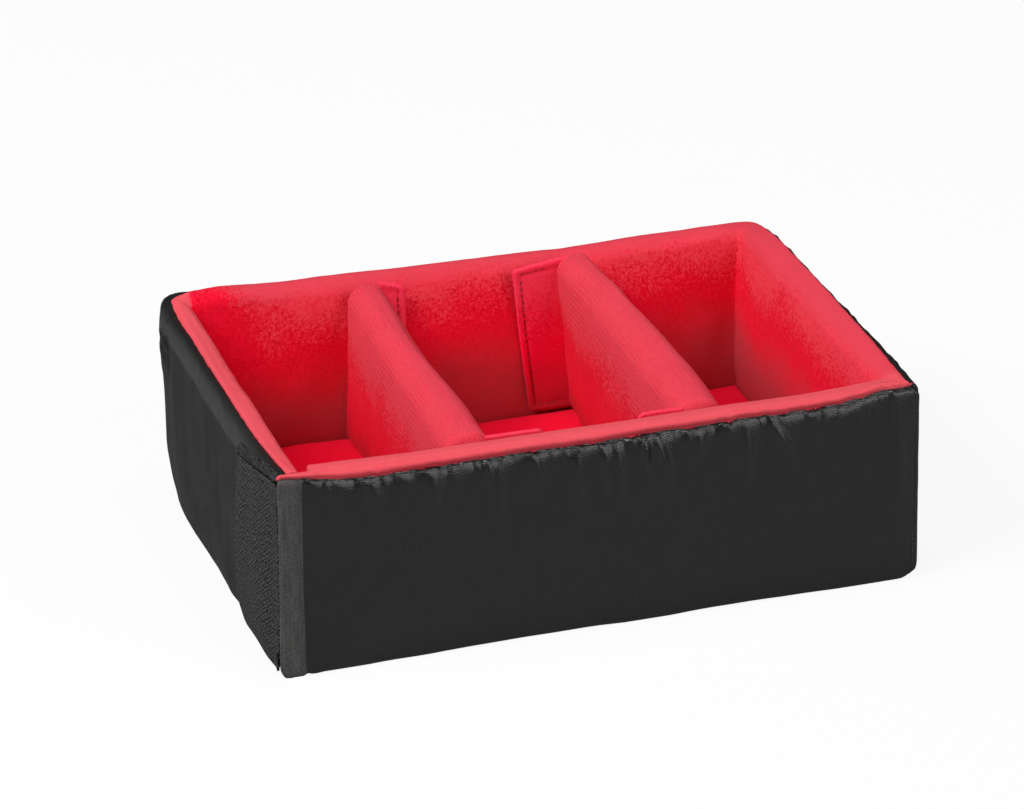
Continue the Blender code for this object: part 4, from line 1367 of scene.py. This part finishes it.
# Stitches along the groove inside the hem: down the free edge, and along the top and the bottom
def makeFlapStitches(name, body, root, side, toWall, points, low, high, width):
    inset = flap["hem"] + 0.3 * mm
    up = np.linspace(low.z, high.z, points.shape[1])
    freeAt = lambda z: np.interp(z, up, width) - inset
    corner = 2 * mm
    pitch = flap["stitchPitch"]
    z = np.arange(low.z + inset + corner, high.z - inset - corner, pitch)
    starts = [np.column_stack([freeAt(z), z])]
    ends = [np.column_stack([freeAt(z + flap["stitch"]), z + flap["stitch"]])]
    for level in (low.z + inset, high.z - inset):
        a = np.arange(flap["tucks"][0] + 3 * mm, freeAt(level) - corner, pitch)
        starts.append(np.column_stack([a, level + 0 * a]))
        ends.append(np.column_stack([a + flap["stitch"], level + 0 * a]))
    starts, ends = np.concatenate(starts), np.concatenate(ends)
    share = np.linspace(0, 1, 5)[None, :, None]
    flat = starts[:, None] + (ends - starts)[:, None] * share
    column = np.interp(flat[..., 1], up, np.arange(len(up)))
    row = np.clip(flat[..., 0] / np.interp(flat[..., 1], up, width), 0, 1) * (len(points) - 1)
    row, column = np.rint(row).astype(int), np.rint(column).astype(int)
    at, high = points[row, column, 1], points[row, column, 2] - up[column]
    lift = 0.1 * mm + 0.22 * mm * np.sin(np.pi * share[..., 0])
    x = np.interp(flat[..., 1], up, root) + side * flat[..., 0]
    paths = np.stack([x, at - toWall * lift, flat[..., 1] + high], axis=-1)
    sides = np.broadcast_to(np.array([0.0, 1.0, 0.0]), (len(paths), 3))
    stitches = manyTubes(name + "Stitches", paths, sides, flap["threadRadius"], 5, darkRedThread)
    attach(stitches, body, "red_fleece")


def makeFlapHooks(node, body, toWall, side, heights, edges):
    low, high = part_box(node)
    near = low.y if toWall > 0 else high.y
    up = np.linspace(low.z, high.z, 24)
    cut = cornerCut(np.minimum(up - low.z, high.z - up), 1.5 * mm)
    inner = (low.x if side > 0 else high.x) + side * cut
    outer = np.interp(up, heights, edges) - side * cut
    outer = np.minimum(outer, high.x) if side > 0 else np.maximum(outer, low.x)
    share = np.linspace(0, 1, 9)[:, None]
    x = inner + share * (outer - inner)
    points = np.stack([x, near + 0 * x, up[None, :] + 0 * x], axis=-1)
    quads = gridCells(*x.shape)
    if side * toWall > 0:
        quads = quads[:, ::-1]
    uv = np.column_stack([x.ravel(), (up[None, :] + 0 * x).ravel()])
    tape = newFabric(node + "Tape", points.reshape(-1, 3), quads, uv, tapeWeave, flap["tapeThick"])
    attach(tape, body, "hook_tape", node)
    pitch = flap["hookPitch"]
    columns = max(1, round((high.x - low.x - 1.6 * mm) / pitch))
    x = low.x + (high.x - low.x) * (np.arange(columns) + 0.5) / columns
    x, z = np.meshgrid(x, np.arange(low.z + 1.4 * mm, high.z - 1.2 * mm, pitch))
    x, z = x.ravel(), z.ravel()
    inside = (np.interp(z, up, outer) - x) * side > 0.4 * mm
    feet = np.column_stack([x, near + toWall * 0.4 * mm + 0 * x, z])[inside]
    out, curl = np.array([0.0, toWall, 0.0]), np.array([0.0, 0.0, -1.0])
    hooks = hookField(node + "Field", feet, out, curl, hookNylon)
    attach(hooks, body, "hook_tape")


for dividerName in ("left_divider", "right_divider"):
    for end in ("back", "front"):
        makeFlap(dividerName, end)
print("flaps made")


# The sewn seam at the front right corner

seamEdge = {
    "middle": (134.05, -93.9), "radius": 1.75 * mm, "low": 0.5 * mm, "high": 86.0 * mm, "corner": 5 * mm,
    "lowCorner": 7 * mm, "stitch": 1.5 * mm, "pitch": 2.4 * mm, "thread": 0.2 * mm,
}


# Its edge is a rounded roll of folded fabric, which bends in over the rim and under the foot
def makeCornerSeam():
    look = seamEdge
    bend = np.linspace(0, np.pi / 2, 9)
    corner, lowCorner = look["corner"], look["lowCorner"]
    foot = look["low"] + lowCorner * (1 - np.cos(bend))
    upright = np.linspace(look["low"] + lowCorner, look["high"] - corner, 60)[1:-1]
    crest = look["high"] - corner * (1 - np.cos(bend[::-1]))
    up = np.concatenate([foot, upright, crest])
    cut = cornerCut(up - up[0], lowCorner) + cornerCut(up[-1] - up, corner)
    inwards = np.array([-0.93, 0.37])
    middle = np.array(look["middle"]) * mm + cut[:, None] * inwards
    angle = np.linspace(0, 2 * np.pi, 19)[:-1]
    radius = look["radius"] * (1 + 0.06 * drift(up, 0 * up, 6 * mm, 92))[:, None]
    ring = np.stack([np.cos(angle), np.sin(angle)], axis=-1)
    flat = middle[:, None] + radius[..., None] * ring
    points = np.concatenate([flat, np.broadcast_to(up[:, None, None], (*flat.shape[:2], 1))], axis=-1)
    count, around = flat.shape[:2]
    index = np.arange(count * around).reshape(count, around)
    turned = np.roll(index, -1, axis=1)
    quads = np.stack([index[:-1], turned[:-1], turned[1:], index[1:]], axis=-1).reshape(-1, 4)
    mesh = bpy.data.meshes.new("cornerSeam")
    faces = quads.tolist() + [index[0, ::-1].tolist(), index[-1].tolist()]
    mesh.from_pydata(points.reshape(-1, 3).tolist(), [], faces)
    mesh.materials.append(blackCover)
    mesh.shade_smooth()
    layer = mesh.uv_layers.new(name="cloth")
    corners = readAll(mesh.loops, "vertex_index", 1, np.int32)
    place = np.column_stack([np.tile(angle * look["radius"], count), np.repeat(up, around)])[corners]
    layer.data.foreach_set("uv", place.astype(np.float32).ravel())
    edge = bpy.data.objects.new("cornerSeam", mesh)
    scene.collection.objects.link(edge)
    attach(edge, "wall_belt", "black_nylon", "front_right_seam")
    z = np.arange(look["low"] + lowCorner, look["high"] - corner, look["pitch"])
    share = np.linspace(0, 1, 5)
    out = np.array([math.cos(math.radians(-118)), math.sin(math.radians(-118))])
    lift = look["radius"] - 0.05 * mm + 0.12 * mm * np.sin(np.pi * share)
    flat = np.array(look["middle"]) * mm + out * lift[:, None]
    high = (z[:, None] + look["stitch"] * share)[..., None]
    paths = np.concatenate([np.broadcast_to(flat, (len(z), 5, 2)), high], axis=-1)
    sides = np.broadcast_to(np.array([-out[1], out[0], 0.0]), (len(z), 3))
    stitches = manyTubes("cornerStitches", paths, sides, look["thread"], 5, greyThread)
    attach(stitches, "wall_belt", "black_nylon")


makeCornerSeam()
print("corner seam made")


# The closure's hooks and the loops that they hold on to

def makeClosureHooks():
    back = placeOnBelt(leftOut, closure["tapeBack"])
    alongs = np.arange(closure["hooksFrom"], back - closure["hooksMargin"], closure["hookPitch"])
    girths = np.arange(closure["hooksLow"], closure["hooksHigh"], closure["hookPitch"])
    along, girth = np.meshgrid(alongs, girths, indexing="ij")
    feet, _, normal = onWall(belt, along, girth, closure["tapeLift"] - closure["tapeThick"])
    share = np.linspace(0, 1, 4)
    paths = feet.reshape(-1, 1, 3) - normal.reshape(-1, 1, 3) * (closure["hookReach"] * share[:, None])
    paths = paths + np.array([0, 0, 1]) * (closure["hookCurl"] * share[:, None] ** 2)
    sides = np.broadcast_to(np.array([0.0, 1.0, 0.0]), (len(paths), 3))
    hooks = manyTubes("closureHooks", paths, sides, closure["hookRadius"], 4, hookNylon)
    attach(hooks, "closure_flap", "hook_tape")


# Loops of the pile on the left wall, where it shows above the closure's tape
def makeLoops():
    random = np.random.default_rng(101)
    count = closure["loops"]
    back = placeOnBelt(leftOut, closure["patchBack"])
    along = random.uniform(1 * mm, back - 2 * mm, count)
    share = along / back
    edge = closure["tapeTop"] + (closure["tapeTopBack"] - closure["tapeTop"]) * share
    top = closure["patchTop"] + closure["loopRise"] - closure["patchSlope"] * share
    top = top - cornerCut(back - along, closure["patchCorner"])
    girth = edge + (top - edge) * random.uniform(-0.1, 1.0, count)
    grid = np.linspace(0, back, 80), np.linspace(60 * mm, 90 * mm, 60)
    onGrid, _, normal = onWall(belt, *np.meshgrid(*grid, indexing="ij"), closure["patchLift"])
    i = np.rint(along / back * 79).astype(int)
    j = np.clip(np.rint((girth - 60 * mm) / (30 * mm) * 59).astype(int), 0, 59)
    feet, out = onGrid[i, j], normal[i, j]
    turn = random.uniform(0, np.pi, count)
    run = np.stack([0 * turn, np.cos(turn), np.sin(turn)], axis=1)
    wide = random.uniform(*closure["loopWidths"], count) * mm
    high = random.uniform(*closure["loopHeights"], count) * mm
    angle = np.linspace(0, np.pi, 6)
    paths = feet[:, None] - (wide[:, None] * np.cos(angle))[..., None] * run[:, None]
    paths = paths + (high[:, None] * np.sin(angle))[..., None] * out[:, None]
    loops = manyTubes("loopPile", paths, np.cross(run, out), closure["loopRadius"], 4, loopThread)
    attach(loops, "wall_belt", "hook_tape")


makeClosureHooks()
makeLoops()
print("hooks and loops made")


# Stage

light = {
    "key": {"place": (-1.9, -1.05, 2.5), "size": 1.3, "power": 56},
    "side": {"place": (-2.4, -0.1, 2.1), "size": 1.3, "power": 48},
    "fill": {"place": (2.0, -2.4, 1.4), "size": 2.0, "power": 28},
    "glint": {"place": (0.91, -2.4, 2.07), "size": 0.6, "power": 14},
    "top": {"place": (0.2, -0.1, 3.0), "size": 1.6, "power": 20},
}


def placeLight(name):
    data = bpy.data.lights.new(name, "AREA")
    data.shape = "DISK"
    data.size = light[name]["size"]
    data.energy = light[name]["power"]
    thing = bpy.data.objects.new(name, data)
    place = Vector(light[name]["place"])
    thing.matrix_world = Matrix.Translation(place) @ (-place).to_track_quat("-Z", "Y").to_matrix().to_4x4()
    scene.collection.objects.link(thing)


def makeStage():
    corners = np.array([(-4, -4, 0), (4, -4, 0), (4, 4, 0), (-4, 4, 0)])
    floor = newObject("floor", corners, np.array([[0, 1, 2, 3]]))
    finish = Finish("floorWhite", (0.8, 0.8, 0.8), Roughness=0.9)
    path = finish.add("ShaderNodeLightPath", output="Is Camera Ray")
    glow = finish.add("ShaderNodeEmission", {}, {"Color": (1, 1, 1, 1), "Strength": 1.0})
    plain = Value(finish, finish.shader.outputs[0])
    shown = finish.add("ShaderNodeMixShader", {}, [0.9, plain, glow])
    dim = finish.add("ShaderNodeBsdfDiffuse", {}, {"Color": (0.32, 0.32, 0.32, 1)})
    final = finish.add("ShaderNodeMixShader", {}, [path, dim, shown])
    finish.put(finish.nodes["Material Output"].inputs[0], final)
    floor.data.materials.append(finish.material)
    world = bpy.data.worlds.new("studio")
    world.use_nodes = True
    nodes, links = world.node_tree.nodes, world.node_tree.links
    scene.world = world
    sky = nodes["Background"]
    sky.inputs["Color"].default_value = (1, 1, 1, 1)
    rays = nodes.new("ShaderNodeLightPath")
    seen = nodes.new("ShaderNodeMath")
    seen.operation = "MAXIMUM"
    links.new(rays.outputs["Is Camera Ray"], seen.inputs[0])
    links.new(rays.outputs["Is Transmission Ray"], seen.inputs[1])
    level = nodes.new("ShaderNodeMapRange")
    level.inputs["To Min"].default_value = 0.06
    level.inputs["To Max"].default_value = 1.0
    links.new(seen.outputs[0], level.inputs["Value"])
    links.new(level.outputs[0], sky.inputs["Strength"])


makeStage()
for lightName in light:
    placeLight(lightName)
scene.view_settings.view_transform = "Standard"
print("stage set")
